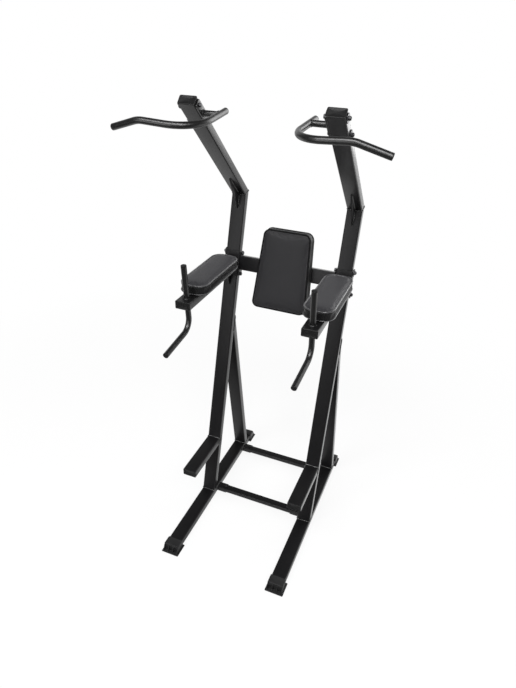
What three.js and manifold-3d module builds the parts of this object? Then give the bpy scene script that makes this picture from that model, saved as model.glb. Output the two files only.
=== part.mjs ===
import * as THREE from 'three';
import { mergeVertices } from 'three/addons/utils/BufferGeometryUtils.js';
import Module from 'manifold-3d';

const wasm = await Module();
wasm.setup();

// Dip and pull-up station of flat steel tube, standing on four rubber feet
// Millimetres, +Z up, the user faces -Y, X = 0 is the mirror plane of the machine

// Overall layout
const FRAME_SPACING = 602;
const SEAT_GAP = 0.3;
const OVERRUN = 2;
const LEAN = THREE.MathUtils.degToRad(14.4);
const STRUT_LEAN = THREE.MathUtils.degToRad(10.5);
const KINK = THREE.MathUtils.degToRad(61.2);
const UPRIGHT_TOE_Y = -75;
const STRUT_TOE_Y = 390;
const STEP_HEIGHT = 386;
const ARM_HEIGHT = 1398;
const UPPER_POST = { lowerRun: 352.6, upperRun: 703 };

// Flat frame tube
const TUBE = { width: 75, depth: 40, wall: 2.5, corner: 5 };
const RAIL_LENGTH = 1040;
const STEP_LENGTH = 300;
const MIN_CORNER_SHARE = 0.2;

// Cross bars in their sockets
const BAR = { width: 40, depth: 25, wall: 2, corner: 3 };
const SOCKET = { length: 57, wall: 2.5, clearance: 0.5, corner: 4, drop: 0.5, boltInset: 8 };

// Rubber feet
const FOOT = { wall: 4, grip: 44, sole: 3, flange: 5, toe: 22, heel: 11, side: 7, rib: 4, ribs: 4, brow: 9 };
const FOOT_CORNER = 6;

// Bracket that wraps the post at the arms
const SADDLE = { drop: 12.5, plate: 4, boltClearance: 1, boltEdge: 10 };
const GUSSET = { plate: 6, armReach: 62, armDrop: 84, kinkRise: 149, kinkFall: 72 };
const SPIGOT = { length: 200, wall: 3, clearance: 0.5, corner: 3.5 };

// Middle beam that ties the posts and carries the back pad
const BEAM = { rise: 6.5, endPlate: 4, vent: 12 };

// Round bar for the handles and grips
const ROUND = { diameter: 27, wall: 2.5 };
const GRIP = {
  padGap: 22.5, setback: 41, leanShare: 0.089, height: 162, drop: 158.5, bend: 60, dipReach: 223.5,
  dipFallShare: 0.136,
};
const PLUG = { dome: 5, depth: 14, clearance: 0.5 };

// Pull-up handle, its places measured from the bracket on the post
const BRACKET = { width: 38, length: 135, plate: 5, corner: 8, fromTop: 75, boltEdge: 17.5, stub: 25 };
const HANDLE = {
  inset: 111, toeIn: 10, rearReach: 58, rearRise: 5, frontReach: 223, frontDrop: 19,
  wideOut: 114, wideReach: 237, wideDrop: 4, endOut: 241, endReach: 215, endDrop: 43,
  innerBend: 128, outerBend: 95,
};

// Bolts, as shares of their own diameter
const BOLT_DIAMETER = 10;
const SOCKET_BOLT_DIAMETER = 8;
const HOLE_CLEARANCE = 1;
const BOLT_SHARES = { flats: 1.6, head: 0.64, nut: 1, thinNut: 0.5, stub: 0.1 };
const PLAIN_WASHER_SHARES = { width: 2, thickness: 0.2 };
const WIDE_WASHER_SHARES = { width: 3.8, thickness: 0.4 };

// End caps of the flat tube
const CAP = { flange: 3, lip: 1, plug: 15, clearance: 0.4 };

// Pads, each on its own plywood board
const BOARD = { thickness: 12, inset: 9 };
const ARM_PAD = {
  width: 144, farWidth: 144, length: 410, thickness: 46, crown: 6, radius: 55, draw: 1.5, postGap: 44,
};
const BACK_PAD = { width: 306, farWidth: 252, length: 416, thickness: 50, crown: 7, radius: 38, draw: 2.5 };
const PAD_LEVELS = [
  { insetShare: 0.12, heightShare: 0, drawShare: 0 },
  { insetShare: 0.03, heightShare: 0.07, drawShare: 0.4 },
  { insetShare: 0, heightShare: 0.3, drawShare: 0.8 },
  { insetShare: 0, heightShare: 0.62, drawShare: 1 },
  { insetShare: 0.025, heightShare: 0.84, drawShare: 0.8 },
  { insetShare: 0.1, heightShare: 0.95, drawShare: 0.5 },
];
const CROWN_LEVELS = [
  { insetShare: 0.22, crownShare: 0.2 },
  { insetShare: 0.45, crownShare: 0.55 },
  { insetShare: 0.72, crownShare: 0.82 },
  { insetShare: 0.9, crownShare: 0.95 },
];

// Facets
const CORNER_SEGMENTS = 2;
const ROUND_SIDES = 12;
const HOLE_SIDES = 8;
const BEND_STEPS = 5;
const PAD_CORNER_STEPS = 5;
const PAD_SIDE_STEPS = 4;

// Materials
const frameSteel = new THREE.MeshStandardMaterial({ color: 0x1c1c1e, roughness: 0.45, metalness: 0.3 });
const barSteel = new THREE.MeshStandardMaterial({ color: 0x161617, roughness: 0.4, metalness: 0.3 });
const rubber = new THREE.MeshStandardMaterial({ color: 0x2a2a2b, roughness: 0.85, metalness: 0 });
const plastic = new THREE.MeshStandardMaterial({ color: 0x18181a, roughness: 0.6, metalness: 0 });
const vinyl = new THREE.MeshStandardMaterial({ color: 0x2b2c2e, roughness: 0.5, metalness: 0 });
const plywood = new THREE.MeshStandardMaterial({ color: 0x9c7b50, roughness: 0.8, metalness: 0 });
const blackZinc = new THREE.MeshStandardMaterial({ color: 0x202022, roughness: 0.35, metalness: 0.8 });

// Sizes worked out from the ones above
const frameX = FRAME_SPACING / 2;
const innerX = frameX - TUBE.width / 2;
const outerX = frameX + TUBE.width / 2;
const railBottom = FOOT.sole + SEAT_GAP;
const railTop = railBottom + TUBE.depth;
const leanSin = Math.sin(LEAN);
const leanCos = Math.cos(LEAN);
const leanTan = Math.tan(LEAN);
const jointRun = (ARM_HEIGHT - SADDLE.drop - railTop) / leanCos;
const kinkRun = jointRun + UPPER_POST.lowerRun;
const beamRun = jointRun + BEAM.rise;
const forwardLean = KINK - LEAN;
const halfDepth = TUBE.depth / 2;
const holeDiameter = BOLT_DIAMETER + HOLE_CLEARANCE;
const armBottom = ARM_HEIGHT - TUBE.depth;
const washerRadius = BOLT_DIAMETER * PLAIN_WASHER_SHARES.width / 2;
const jointBoltReach = TUBE.width / 2 + BEAM.rise + SADDLE.boltClearance + washerRadius;
const saddleHeight = 2 * (jointBoltReach + SADDLE.boltEdge);
const boltRuns = { upper: jointRun + jointBoltReach, lower: jointRun - jointBoltReach };
const handleRun = UPPER_POST.upperRun - BRACKET.fromTop;
const handleBoltReach = BRACKET.length / 2 - BRACKET.boltEdge;
const armPadMiddle = leaningY(ARM_HEIGHT, -SEAT_GAP - SADDLE.plate) - ARM_PAD.postGap - ARM_PAD.length / 2;
const gripY = armPadMiddle - ARM_PAD.length / 2 - GRIP.padGap - ROUND.diameter / 2;
const armFrontY = gripY - GRIP.setback;

// Y of the upright's front face at a height, moved along by a depth square to the face
function leaningY(height, depth = 0) {
  return UPRIGHT_TOE_Y + (height - railTop) * leanTan + depth / leanCos;
}

// Outlines

function roundedRectangle(width, height, radius, Kind = THREE.Shape) {
  const x = width / 2 - radius;
  const y = height / 2 - radius;
  const outline = new Kind();
  outline.moveTo(-x, -y - radius);
  outline.lineTo(x, -y - radius);
  outline.absarc(x, -y, radius, -Math.PI / 2, 0, false);
  outline.lineTo(x + radius, y);
  outline.absarc(x, y, radius, 0, Math.PI / 2, false);
  outline.lineTo(-x, y + radius);
  outline.absarc(-x, y, radius, Math.PI / 2, Math.PI, false);
  outline.lineTo(-x - radius, -y);
  outline.absarc(-x, -y, radius, Math.PI, 1.5 * Math.PI, false);
  return outline;
}

function tubeSection({ width, depth, wall, corner }) {
  const section = roundedRectangle(width, depth, corner);
  const inner = Math.max(corner - wall, corner * MIN_CORNER_SHARE);
  section.holes.push(roundedRectangle(width - 2 * wall, depth - 2 * wall, inner, THREE.Path));
  return section;
}

function polygon(points) {
  return new THREE.Shape(points.map(([x, y]) => new THREE.Vector2(x, y)));
}

// Solids from outlines

function indexed(positions, triangles) {
  const geometry = new THREE.BufferGeometry();
  geometry.setAttribute('position', new THREE.Float32BufferAttribute(positions.flatMap((p) => p.toArray()), 3));
  geometry.setIndex(triangles.flat());
  return geometry;
}

// Carries a section through stations, each an origin with the directions of the section's two axes
function sweep(section, stations) {
  const { shape, holes } = section.extractPoints(CORNER_SEGMENTS);
  if (THREE.ShapeUtils.isClockWise(shape)) shape.reverse();
  holes.filter((hole) => !THREE.ShapeUtils.isClockWise(hole)).forEach((hole) => hole.reverse());
  const ends = THREE.ShapeUtils.triangulateShape(shape, holes);
  const loops = [shape, ...holes];
  const flat = loops.flat();
  const positions = stations.flatMap(({ origin, u, v }) => flat.map((point) => (
    origin.clone().addScaledVector(u, point.x).addScaledVector(v, point.y))));
  const triangles = [];
  const last = (stations.length - 1) * flat.length;
  for (const [a, b, c] of ends) {
    const area = flat[b].clone().sub(flat[a]).cross(flat[c].clone().sub(flat[a]));
    const face = area > 0 ? [a, b, c] : [a, c, b];
    triangles.push([face[0], face[2], face[1]]);
    triangles.push(face.map((corner) => corner + last));
  }
  for (let station = 0; station < stations.length - 1; station += 1) {
    let start = station * flat.length;
    for (const loop of loops) {
      for (let i = 0; i < loop.length; i += 1) {
        const a = start + i;
        const b = start + (i + 1) % loop.length;
        triangles.push([a, b, b + flat.length], [a, b + flat.length, a + flat.length]);
      }
      start += loop.length;
    }
  }
  const travel = stations[1].origin.clone().sub(stations[0].origin);
  const handed = stations[0].u.clone().cross(stations[0].v).dot(travel) > 0;
  return indexed(positions, handed ? triangles : triangles.map(([a, b, c]) => [a, c, b]));
}

// Station in the YZ plane: the section's width lies along X
function sideStation(x, y, z, vy, vz) {
  return { origin: new THREE.Vector3(x, y, z), u: new THREE.Vector3(1, 0, 0), v: new THREE.Vector3(0, vy, vz) };
}

function extrude(shape, depth) {
  return new THREE.ExtrudeGeometry(shape, { depth, bevelEnabled: false, curveSegments: CORNER_SEGMENTS });
}

// Extrusion of an outline drawn in Y and Z, from one X to another
function extrudeAcross(shape, fromX, toX) {
  const turn = new THREE.Matrix4().makeBasis(
    new THREE.Vector3(0, 1, 0), new THREE.Vector3(0, 0, 1), new THREE.Vector3(1, 0, 0));
  return extrude(shape, toX - fromX).applyMatrix4(turn).translate(fromX, 0, 0);
}

function block(x, y, z) {
  const size = [x, y, z].map(([low, high]) => high - low);
  const centre = [x, y, z].map(([low, high]) => (low + high) / 2);
  return new THREE.BoxGeometry(...size).translate(...centre);
}

function rod(diameter, length, sides = HOLE_SIDES) {
  return new THREE.CylinderGeometry(diameter / 2, diameter / 2, length, sides);
}

// Bar along X through a point of the YZ plane
function crossRod(diameter, fromX, toX, y, z, sides = HOLE_SIDES) {
  return rod(diameter, toX - fromX, sides).rotateZ(-Math.PI / 2).translate((fromX + toX) / 2, y, z);
}

// Route with rounded bends: points with their directions
function bentRoute(corners, radii) {
  const route = [{ point: corners[0], way: corners[1].clone().sub(corners[0]).normalize() }];
  radii.forEach((radius, i) => {
    const corner = corners[i + 1];
    const arriving = corner.clone().sub(corners[i]).normalize();
    const leaving = corners[i + 2].clone().sub(corner).normalize();
    const turn = arriving.angleTo(leaving);
    const start = corner.clone().addScaledVector(arriving, -radius * Math.tan(turn / 2));
    const inward = leaving.clone().addScaledVector(arriving, -leaving.dot(arriving)).normalize();
    const centre = start.clone().addScaledVector(inward, radius);
    for (let step = 0; step <= BEND_STEPS; step += 1) {
      const angle = turn * step / BEND_STEPS;
      const point = centre.clone().addScaledVector(inward, -radius * Math.cos(angle));
      point.addScaledVector(arriving, radius * Math.sin(angle));
      const way = arriving.clone().multiplyScalar(Math.cos(angle)).addScaledVector(inward, Math.sin(angle));
      route.push({ point, way });
    }
  });
  const last = corners[corners.length - 1];
  route.push({ point: last, way: last.clone().sub(corners[corners.length - 2]).normalize() });
  return route;
}

// Stations square to a route, turned as little as possible from one to the next
function routeStations(route, sideways) {
  let u = sideways.clone();
  return route.map(({ point, way }) => {
    u = u.clone().addScaledVector(way, -u.dot(way)).normalize();
    return { origin: point, u, v: way.clone().cross(u) };
  });
}

// The same route, run past both of its ends
function lengthened(route, extra) {
  const first = { ...route[0], point: route[0].point.clone().addScaledVector(route[0].way, -extra) };
  const end = route[route.length - 1];
  const last = { ...end, point: end.point.clone().addScaledVector(end.way, extra) };
  return [first, ...route.slice(1, -1), last];
}

function roundSection(diameter) {
  const points = [];
  for (let i = 0; i < ROUND_SIDES; i += 1) {
    const angle = 2 * Math.PI * i / ROUND_SIDES;
    points.push([diameter / 2 * Math.cos(angle), diameter / 2 * Math.sin(angle)]);
  }
  return polygon(points);
}

// Joins and cuts

function solid(geometry) {
  const bare = new THREE.BufferGeometry();
  bare.setAttribute('position', geometry.getAttribute('position'));
  if (geometry.index) bare.setIndex(geometry.index);
  const merged = mergeVertices(bare);
  return new wasm.Manifold(new wasm.Mesh({
    numProp: 3,
    vertProperties: new Float32Array(merged.getAttribute('position').array),
    triVerts: new Uint32Array(merged.index.array),
  }));
}

function geometryOf(body) {
  const mesh = body.getMesh();
  const geometry = new THREE.BufferGeometry();
  geometry.setAttribute('position', new THREE.BufferAttribute(new Float32Array(mesh.vertProperties), 3));
  geometry.setIndex(new THREE.BufferAttribute(new Uint32Array(mesh.triVerts), 1));
  return geometry;
}

function join(...geometries) {
  return geometryOf(geometries.map(solid).reduce((whole, piece) => whole.add(piece)));
}

function cut(geometry, ...cutters) {
  return geometryOf(cutters.map(solid).reduce((whole, cutter) => whole.subtract(cutter), solid(geometry)));
}

function mirrored(geometry) {
  const copy = geometry.index ? geometry.clone() : mergeVertices(geometry.clone());
  copy.scale(-1, 1, 1);
  const order = Array.from(copy.index.array);
  for (let i = 0; i < order.length; i += 3) {
    [order[i + 1], order[i + 2]] = [order[i + 2], order[i + 1]];
  }
  copy.setIndex(order);
  return copy;
}

// The machine's groups: the leaning line of the posts, and the part above the kink

const station = new THREE.Group();
const leaning = new THREE.Group();
leaning.position.set(0, UPRIGHT_TOE_Y, railTop);
leaning.rotation.x = -LEAN;
station.add(leaning);
const crown = new THREE.Group();
crown.position.set(0, 0, kinkRun);
crown.rotation.x = KINK;
leaning.add(crown);
const handles = new THREE.Group();
handles.position.set(0, halfDepth, handleRun);
handles.rotation.x = -forwardLean;
crown.add(handles);

function place(name, geometry, material, parent = station) {
  const mesh = new THREE.Mesh(geometry, material);
  mesh.name = name;
  parent.add(mesh);
  return mesh;
}

// A piece of the +X side and its mirror image
function pair(name, geometry, material, parent = station) {
  place(`${name}_right`, geometry, material, parent);
  place(`${name}_left`, mirrored(geometry), material, parent);
}

// Base

const barRuns = {
  front: leaningY(railTop, TUBE.depth) + BAR.width / 2 + SEAT_GAP,
  rear: STRUT_TOE_Y - BAR.width / 2 - 2 * SEAT_GAP,
};
const socketSection = {
  width: BAR.width + 2 * (SOCKET.wall + SOCKET.clearance),
  depth: BAR.depth + 2 * (SOCKET.wall + SOCKET.clearance),
  wall: SOCKET.wall,
  corner: SOCKET.corner,
};
const socketZ = railTop - SOCKET.drop - socketSection.depth / 2;
const socketEnd = innerX - SOCKET.length;
const socketBoltX = socketEnd + SOCKET.boltInset;

function acrossStation(x, y, z) {
  return { origin: new THREE.Vector3(x, y, z), u: new THREE.Vector3(0, 1, 0), v: new THREE.Vector3(0, 0, 1) };
}

function rail() {
  const z = railBottom + halfDepth;
  const half = RAIL_LENGTH / 2;
  const tube = sweep(tubeSection(TUBE), [sideStation(frameX, half, z, 0, 1), sideStation(frameX, -half, z, 0, 1)]);
  const sockets = Object.values(barRuns).map((y) => {
    const socket = sweep(tubeSection(socketSection),
      [acrossStation(socketEnd, y, socketZ), acrossStation(innerX + TUBE.wall / 2, y, socketZ)]);
    const hole = rod(SOCKET_BOLT_DIAMETER + HOLE_CLEARANCE, socketSection.depth + OVERRUN);
    return cut(socket, hole.rotateX(Math.PI / 2).translate(socketBoltX, y, socketZ));
  });
  return join(tube, ...sockets);
}

function crossBar(y) {
  const half = innerX - OVERRUN;
  const bar = sweep(tubeSection(BAR), [acrossStation(-half, y, socketZ), acrossStation(half, y, socketZ)]);
  const holes = [-1, 1].map((side) => rod(SOCKET_BOLT_DIAMETER + HOLE_CLEARANCE, BAR.depth + OVERRUN)
    .rotateX(Math.PI / 2).translate(side * socketBoltX, y, socketZ));
  return cut(bar, ...holes);
}

// Rubber boot with its origin under the middle of the rail's end, the rail running to +Y
function foot() {
  const width = TUBE.width + 2 * (SEAT_GAP + FOOT.wall);
  const top = railTop + SEAT_GAP + FOOT.wall;
  const front = -FOOT.wall - SEAT_GAP;
  const boot = roundedRectangle(width, top + FOOT_CORNER, FOOT_CORNER);
  const body = sweep(boot, [
    sideStation(0, FOOT.grip, (top - FOOT_CORNER) / 2, 0, 1),
    sideStation(0, front, (top - FOOT_CORNER) / 2, 0, 1),
  ]);
  const flangeLength = FOOT.toe - front + FOOT.grip + FOOT.heel;
  const flange = extrude(roundedRectangle(width + 2 * FOOT.side, flangeLength, FOOT_CORNER), FOOT.flange);
  flange.translate(0, FOOT.grip + FOOT.heel - flangeLength / 2, 0);
  const ribTop = top - FOOT.brow;
  const ribProfile = polygon([
    [front + OVERRUN, 0], [front + OVERRUN, ribTop], [front, ribTop], [front - FOOT.toe + OVERRUN, 0],
  ]);
  const ribs = [];
  for (let i = 0; i < FOOT.ribs; i += 1) {
    const x = (width - FOOT.rib) * (i / (FOOT.ribs - 1) - 1 / 2);
    ribs.push(extrudeAcross(ribProfile, x - FOOT.rib / 2, x + FOOT.rib / 2));
  }
  const pocketSection = roundedRectangle(TUBE.width + 2 * SEAT_GAP, TUBE.depth + 2 * SEAT_GAP, TUBE.corner);
  const pocketZ = railBottom + halfDepth;
  const pocket = sweep(pocketSection, [
    sideStation(0, FOOT.grip + FOOT.heel + OVERRUN, pocketZ, 0, 1), sideStation(0, -SEAT_GAP, pocketZ, 0, 1),
  ]);
  const below = block([-width, width], [front - flangeLength, flangeLength], [-2 * FOOT_CORNER, 0]);
  return cut(join(body, flange, ...ribs), pocket, below);
}

pair('rail', rail(), frameSteel);
for (const [end, y] of Object.entries(barRuns)) {
  place(`cross_bar_${end}`, crossBar(y), frameSteel);
}
for (const [end, way] of [['front', -1], ['rear', 1]]) {
  for (const [side, sign] of [['left', -1], ['right', 1]]) {
    const mesh = place(`foot_${end}_${side}`, foot(), rubber);
    mesh.position.set(sign * frameX, way * RAIL_LENGTH / 2, 0);
    mesh.rotation.z = way > 0 ? Math.PI : 0;
  }
}

// Uprights and struts

function upright() {
  const top = jointRun - SEAT_GAP / 2;
  const tube = sweep(tubeSection(TUBE), [
    sideStation(frameX, halfDepth, SEAT_GAP + halfDepth * leanTan, 1, leanTan),
    sideStation(frameX, halfDepth, top, 1, 0),
  ]);
  return cut(tube, crossRod(holeDiameter, innerX - OVERRUN, outerX + OVERRUN, halfDepth, boltRuns.lower));
}

// The strut leans forward from the rail to the back of the upright, in the machine's own axes
function strut() {
  const sin = Math.sin(STRUT_LEAN);
  const cos = Math.cos(STRUT_LEAN);
  const footY = STRUT_TOE_Y + halfDepth / cos;
  const footZ = railTop + SEAT_GAP;
  const backY = leaningY(footZ, TUBE.depth + SEAT_GAP);
  const rise = (footY - backY) / (leanTan + Math.tan(STRUT_LEAN));
  const across = Math.sin(LEAN + STRUT_LEAN);
  return sweep(tubeSection(TUBE), [
    sideStation(frameX, footY, footZ, 1 / cos, 0),
    sideStation(frameX, footY - rise * sin / cos, footZ + rise, leanSin / across, leanCos / across),
  ]);
}

// A level tube whose rear end is cut to lie on the leaning face
function levelTube(frontY, topZ, seat) {
  const z = topZ - halfDepth;
  return sweep(tubeSection(TUBE), [
    sideStation(frameX, leaningY(z, -seat), z, leanTan, 1),
    sideStation(frameX, frontY, z, 0, 1),
  ]);
}

const stepFrontY = leaningY(STEP_HEIGHT) - STEP_LENGTH;

pair('upright', upright(), frameSteel, leaning);
pair('strut', strut(), frameSteel);
pair('step', levelTube(stepFrontY, STEP_HEIGHT, SEAT_GAP), frameSteel);

// Upper posts: the lower stretch carries on the upright's line, the upper one leans over the user

function upperPost() {
  const mitre = Math.tan(KINK / 2);
  const sin = Math.sin(KINK);
  const cos = Math.cos(KINK);
  const endY = halfDepth * cos - UPPER_POST.upperRun * sin;
  const endZ = kinkRun + halfDepth * sin + UPPER_POST.upperRun * cos;
  const tube = sweep(tubeSection(TUBE), [
    sideStation(frameX, halfDepth, jointRun + SEAT_GAP / 2, 1, 0),
    sideStation(frameX, halfDepth, kinkRun + halfDepth * mitre, 1, mitre),
    sideStation(frameX, endY, endZ, cos, sin),
  ]);
  const gusset = extrudeAcross(polygon([
    [TUBE.wall / 2, kinkRun - GUSSET.kinkFall],
    [TUBE.wall / 2, kinkRun + TUBE.wall / 2 * mitre],
    [TUBE.wall / 2 * cos - GUSSET.kinkRise * sin, kinkRun + TUBE.wall / 2 * sin + GUSSET.kinkRise * cos],
    [-GUSSET.kinkRise * sin, kinkRun + GUSSET.kinkRise * cos],
    [0, kinkRun - GUSSET.kinkFall],
  ]), frameX - GUSSET.plate / 2, frameX + GUSSET.plate / 2);
  const holes = [crossRod(holeDiameter, innerX - OVERRUN, outerX + OVERRUN, halfDepth, boltRuns.upper)];
  for (const side of [-1, 1]) {
    const run = handleRun + side * handleBoltReach;
    holes.push(crossRod(holeDiameter, innerX - OVERRUN, outerX + OVERRUN,
      halfDepth * cos - run * sin, kinkRun + halfDepth * sin + run * cos));
  }
  return cut(join(tube, gusset), ...holes);
}

function spigot() {
  const slack = 2 * (TUBE.wall + SPIGOT.clearance);
  const section = { width: TUBE.width - slack, depth: TUBE.depth - slack, wall: SPIGOT.wall, corner: SPIGOT.corner };
  const sleeve = sweep(tubeSection(section), [
    sideStation(frameX, halfDepth, jointRun - SPIGOT.length / 2, 1, 0),
    sideStation(frameX, halfDepth, jointRun + SPIGOT.length / 2, 1, 0),
  ]);
  const holes = Object.values(boltRuns).map((run) => (
    crossRod(holeDiameter, innerX, outerX, halfDepth, run)));
  return cut(sleeve, ...holes);
}

pair('upper_post', upperPost(), frameSteel, leaning);
pair('joint_spigot', spigot(), frameSteel, leaning);

// Arms: level tube, the bracket that wraps the post, and the gusset under the tube

function saddle() {
  const inside = TUBE.width / 2 + SEAT_GAP;
  const outside = inside + SADDLE.plate;
  const front = -SEAT_GAP - SADDLE.plate;
  const channel = polygon([
    [-outside, front], [outside, front], [outside, TUBE.depth], [inside, TUBE.depth],
    [inside, -SEAT_GAP], [-inside, -SEAT_GAP], [-inside, TUBE.depth], [-outside, TUBE.depth],
  ]);
  const wrap = extrude(channel, saddleHeight).translate(frameX, 0, jointRun - saddleHeight / 2);
  const holes = Object.values(boltRuns).map((run) => (
    crossRod(holeDiameter, frameX - outside - OVERRUN, frameX + outside + OVERRUN, halfDepth, run)));
  return cut(wrap, ...holes).applyMatrix4(leaning.matrixWorld);
}

function arm() {
  const webFront = SEAT_GAP + SADDLE.plate;
  const tube = levelTube(armFrontY, ARM_HEIGHT, webFront - SADDLE.plate / 2);
  const tuck = TUBE.wall / 2;
  const toe = armBottom - GUSSET.armDrop;
  const gusset = extrudeAcross(polygon([
    [leaningY(armBottom + tuck) - GUSSET.armReach, armBottom + tuck],
    [leaningY(armBottom) - GUSSET.armReach, armBottom],
    [leaningY(toe, -webFront), toe],
    [leaningY(toe, -SEAT_GAP), toe],
    [leaningY(armBottom + tuck, -SEAT_GAP), armBottom + tuck],
  ]), frameX - GUSSET.plate / 2, frameX + GUSSET.plate / 2);
  const grip = gripSweep(ROUND.diameter + 2 * SEAT_GAP);
  return cut(join(tube, saddle(), gusset), grip);
}

// Upright grip and dip handle: one bar through the arm, bent forward below it

const gripTop = new THREE.Vector3(frameX, gripY - GRIP.leanShare * GRIP.height, ARM_HEIGHT + GRIP.height);
const gripElbow = new THREE.Vector3(frameX, gripY + GRIP.leanShare * GRIP.drop, ARM_HEIGHT - GRIP.drop);
const dipFall = GRIP.dipFallShare * GRIP.dipReach;
const dipEnd = new THREE.Vector3(frameX, gripElbow.y - GRIP.dipReach, gripElbow.z - dipFall);
const gripRoute = bentRoute([gripTop, gripElbow, dipEnd], [GRIP.bend]);
const sideways = new THREE.Vector3(1, 0, 0);

function gripSweep(diameter) {
  return sweep(roundSection(diameter), routeStations(gripRoute, sideways));
}

function roundTube(route, guide) {
  const section = roundSection(ROUND.diameter);
  section.holes.push(new THREE.Path(roundSection(ROUND.diameter - 2 * ROUND.wall).getPoints()));
  return sweep(section, routeStations(route, guide));
}

leaning.updateMatrixWorld(true);
pair('arm', arm(), frameSteel);
pair('grip_bar', roundTube(gripRoute, sideways), barSteel);

// Middle beam with its end plates, which share the arm brackets' bolts

const beamEnd = innerX - 3 * SEAT_GAP - SADDLE.plate - BEAM.endPlate;

function beam() {
  const tube = { ...TUBE, width: TUBE.depth, depth: TUBE.width };
  const half = beamEnd + BEAM.endPlate / 2;
  const bar = sweep(tubeSection(tube), [-half, half].map((x) => acrossStation(x, halfDepth, beamRun)));
  const plates = [-1, 1].map((side) => {
    const outline = roundedRectangle(TUBE.depth, saddleHeight, TUBE.corner);
    const near = side * beamEnd;
    const far = side * (beamEnd + BEAM.endPlate);
    return extrudeAcross(outline, Math.min(near, far), Math.max(near, far)).translate(0, halfDepth, jointRun);
  });
  const reach = beamEnd + BEAM.endPlate + OVERRUN;
  const drills = [-1, 1].flatMap((side) => {
    const [from, to] = side > 0 ? [beamEnd - OVERRUN, reach] : [-reach, OVERRUN - beamEnd];
    const bolts = Object.values(boltRuns).map((run) => crossRod(holeDiameter, from, to, halfDepth, run));
    return [...bolts, crossRod(BEAM.vent, from, to, halfDepth, beamRun)];
  });
  return cut(join(bar, ...plates), ...drills);
}

place('middle_beam', beam(), frameSteel, leaning);

// Pull-up handles, in the machine's axes with the bracket's middle as origin

const handleX = frameX - HANDLE.inset;
const stubX = handleX - HANDLE.toeIn * HANDLE.rearReach / (HANDLE.rearReach + HANDLE.frontReach);
const plateInnerX = innerX - SEAT_GAP - BRACKET.plate;
const handleRoute = bentRoute([
  new THREE.Vector3(handleX, HANDLE.rearReach, HANDLE.rearRise),
  new THREE.Vector3(handleX - HANDLE.toeIn, -HANDLE.frontReach, -HANDLE.frontDrop),
  new THREE.Vector3(frameX + HANDLE.wideOut, -HANDLE.wideReach, -HANDLE.wideDrop),
  new THREE.Vector3(frameX + HANDLE.endOut, -HANDLE.endReach, -HANDLE.endDrop),
], [HANDLE.innerBend, HANDLE.outerBend]);

function bracketPlate() {
  const outline = roundedRectangle(BRACKET.width, BRACKET.length, BRACKET.corner);
  const plate = extrudeAcross(outline, plateInnerX, plateInnerX + BRACKET.plate);
  const holes = [-1, 1].map((side) => crossRod(holeDiameter, plateInnerX - OVERRUN,
    plateInnerX + BRACKET.plate + OVERRUN, 0, side * handleBoltReach));
  return cut(plate, ...holes).rotateX(forwardLean);
}

function pullUpHandle() {
  const outer = sweep(roundSection(ROUND.diameter), routeStations(handleRoute, sideways));
  const boreRoute = lengthened(handleRoute, OVERRUN);
  const bore = sweep(roundSection(ROUND.diameter - 2 * ROUND.wall), routeStations(boreRoute, sideways));
  const stub = crossRod(BRACKET.stub, stubX, plateInnerX + BRACKET.plate / 2, 0, 0, ROUND_SIDES);
  return cut(join(outer, stub, bracketPlate()), bore);
}

pair('pull_up_handle', pullUpHandle(), barSteel, handles);

// Plugs in the round bars and caps on the flat tubes

// Plug on its axis, the dome to +Z and its flange on the bar's end
function roundPlug() {
  const outer = ROUND.diameter / 2;
  const bore = outer - ROUND.wall - PLUG.clearance;
  const profile = [
    [0, -PLUG.depth], [bore, -PLUG.depth], [bore, 0], [outer, 0],
    [outer, PLUG.dome / 2], [outer - PLUG.dome / 2, PLUG.dome], [0, PLUG.dome],
  ];
  const lathe = new THREE.LatheGeometry(profile.map(([x, y]) => new THREE.Vector2(x, y)), ROUND_SIDES);
  return lathe.rotateX(Math.PI / 2);
}

function plugAt(route, end) {
  const { point, way } = end > 0 ? route[route.length - 1] : route[0];
  const facing = way.clone().multiplyScalar(end);
  const turn = new THREE.Quaternion().setFromUnitVectors(new THREE.Vector3(0, 0, 1), facing);
  const seat = point.clone().addScaledVector(facing, SEAT_GAP);
  return roundPlug().applyMatrix4(new THREE.Matrix4().makeRotationFromQuaternion(turn).setPosition(seat));
}

pair('grip_plug', plugAt(gripRoute, -1), plastic);
pair('dip_plug', plugAt(gripRoute, 1), plastic);
pair('handle_plug_rear', plugAt(handleRoute, -1), plastic, handles);
pair('handle_plug_end', plugAt(handleRoute, 1), plastic, handles);

// Cap over the end of a flat tube, facing +Z, its width along X
function tubeCap(lip) {
  const cover = extrude(roundedRectangle(TUBE.width + 2 * lip, TUBE.depth + 2 * lip, TUBE.corner + lip), CAP.flange);
  cover.translate(0, 0, SEAT_GAP);
  const slack = 2 * (TUBE.wall + CAP.clearance);
  const plug = extrude(roundedRectangle(TUBE.width - slack, TUBE.depth - slack, TUBE.corner - TUBE.wall),
    CAP.plug + CAP.flange);
  plug.translate(0, 0, -CAP.plug);
  return join(cover, plug);
}

const topCap = tubeCap(CAP.lip).translate(frameX, halfDepth, UPPER_POST.upperRun);
pair('post_cap', topCap, plastic, crown);
for (const [name, y, topZ] of [['arm_cap', armFrontY, ARM_HEIGHT], ['step_cap', stepFrontY, STEP_HEIGHT]]) {
  pair(name, tubeCap(0).rotateX(Math.PI / 2).translate(frameX, y, topZ - halfDepth), plastic);
}

// Pads and their boards

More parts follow.
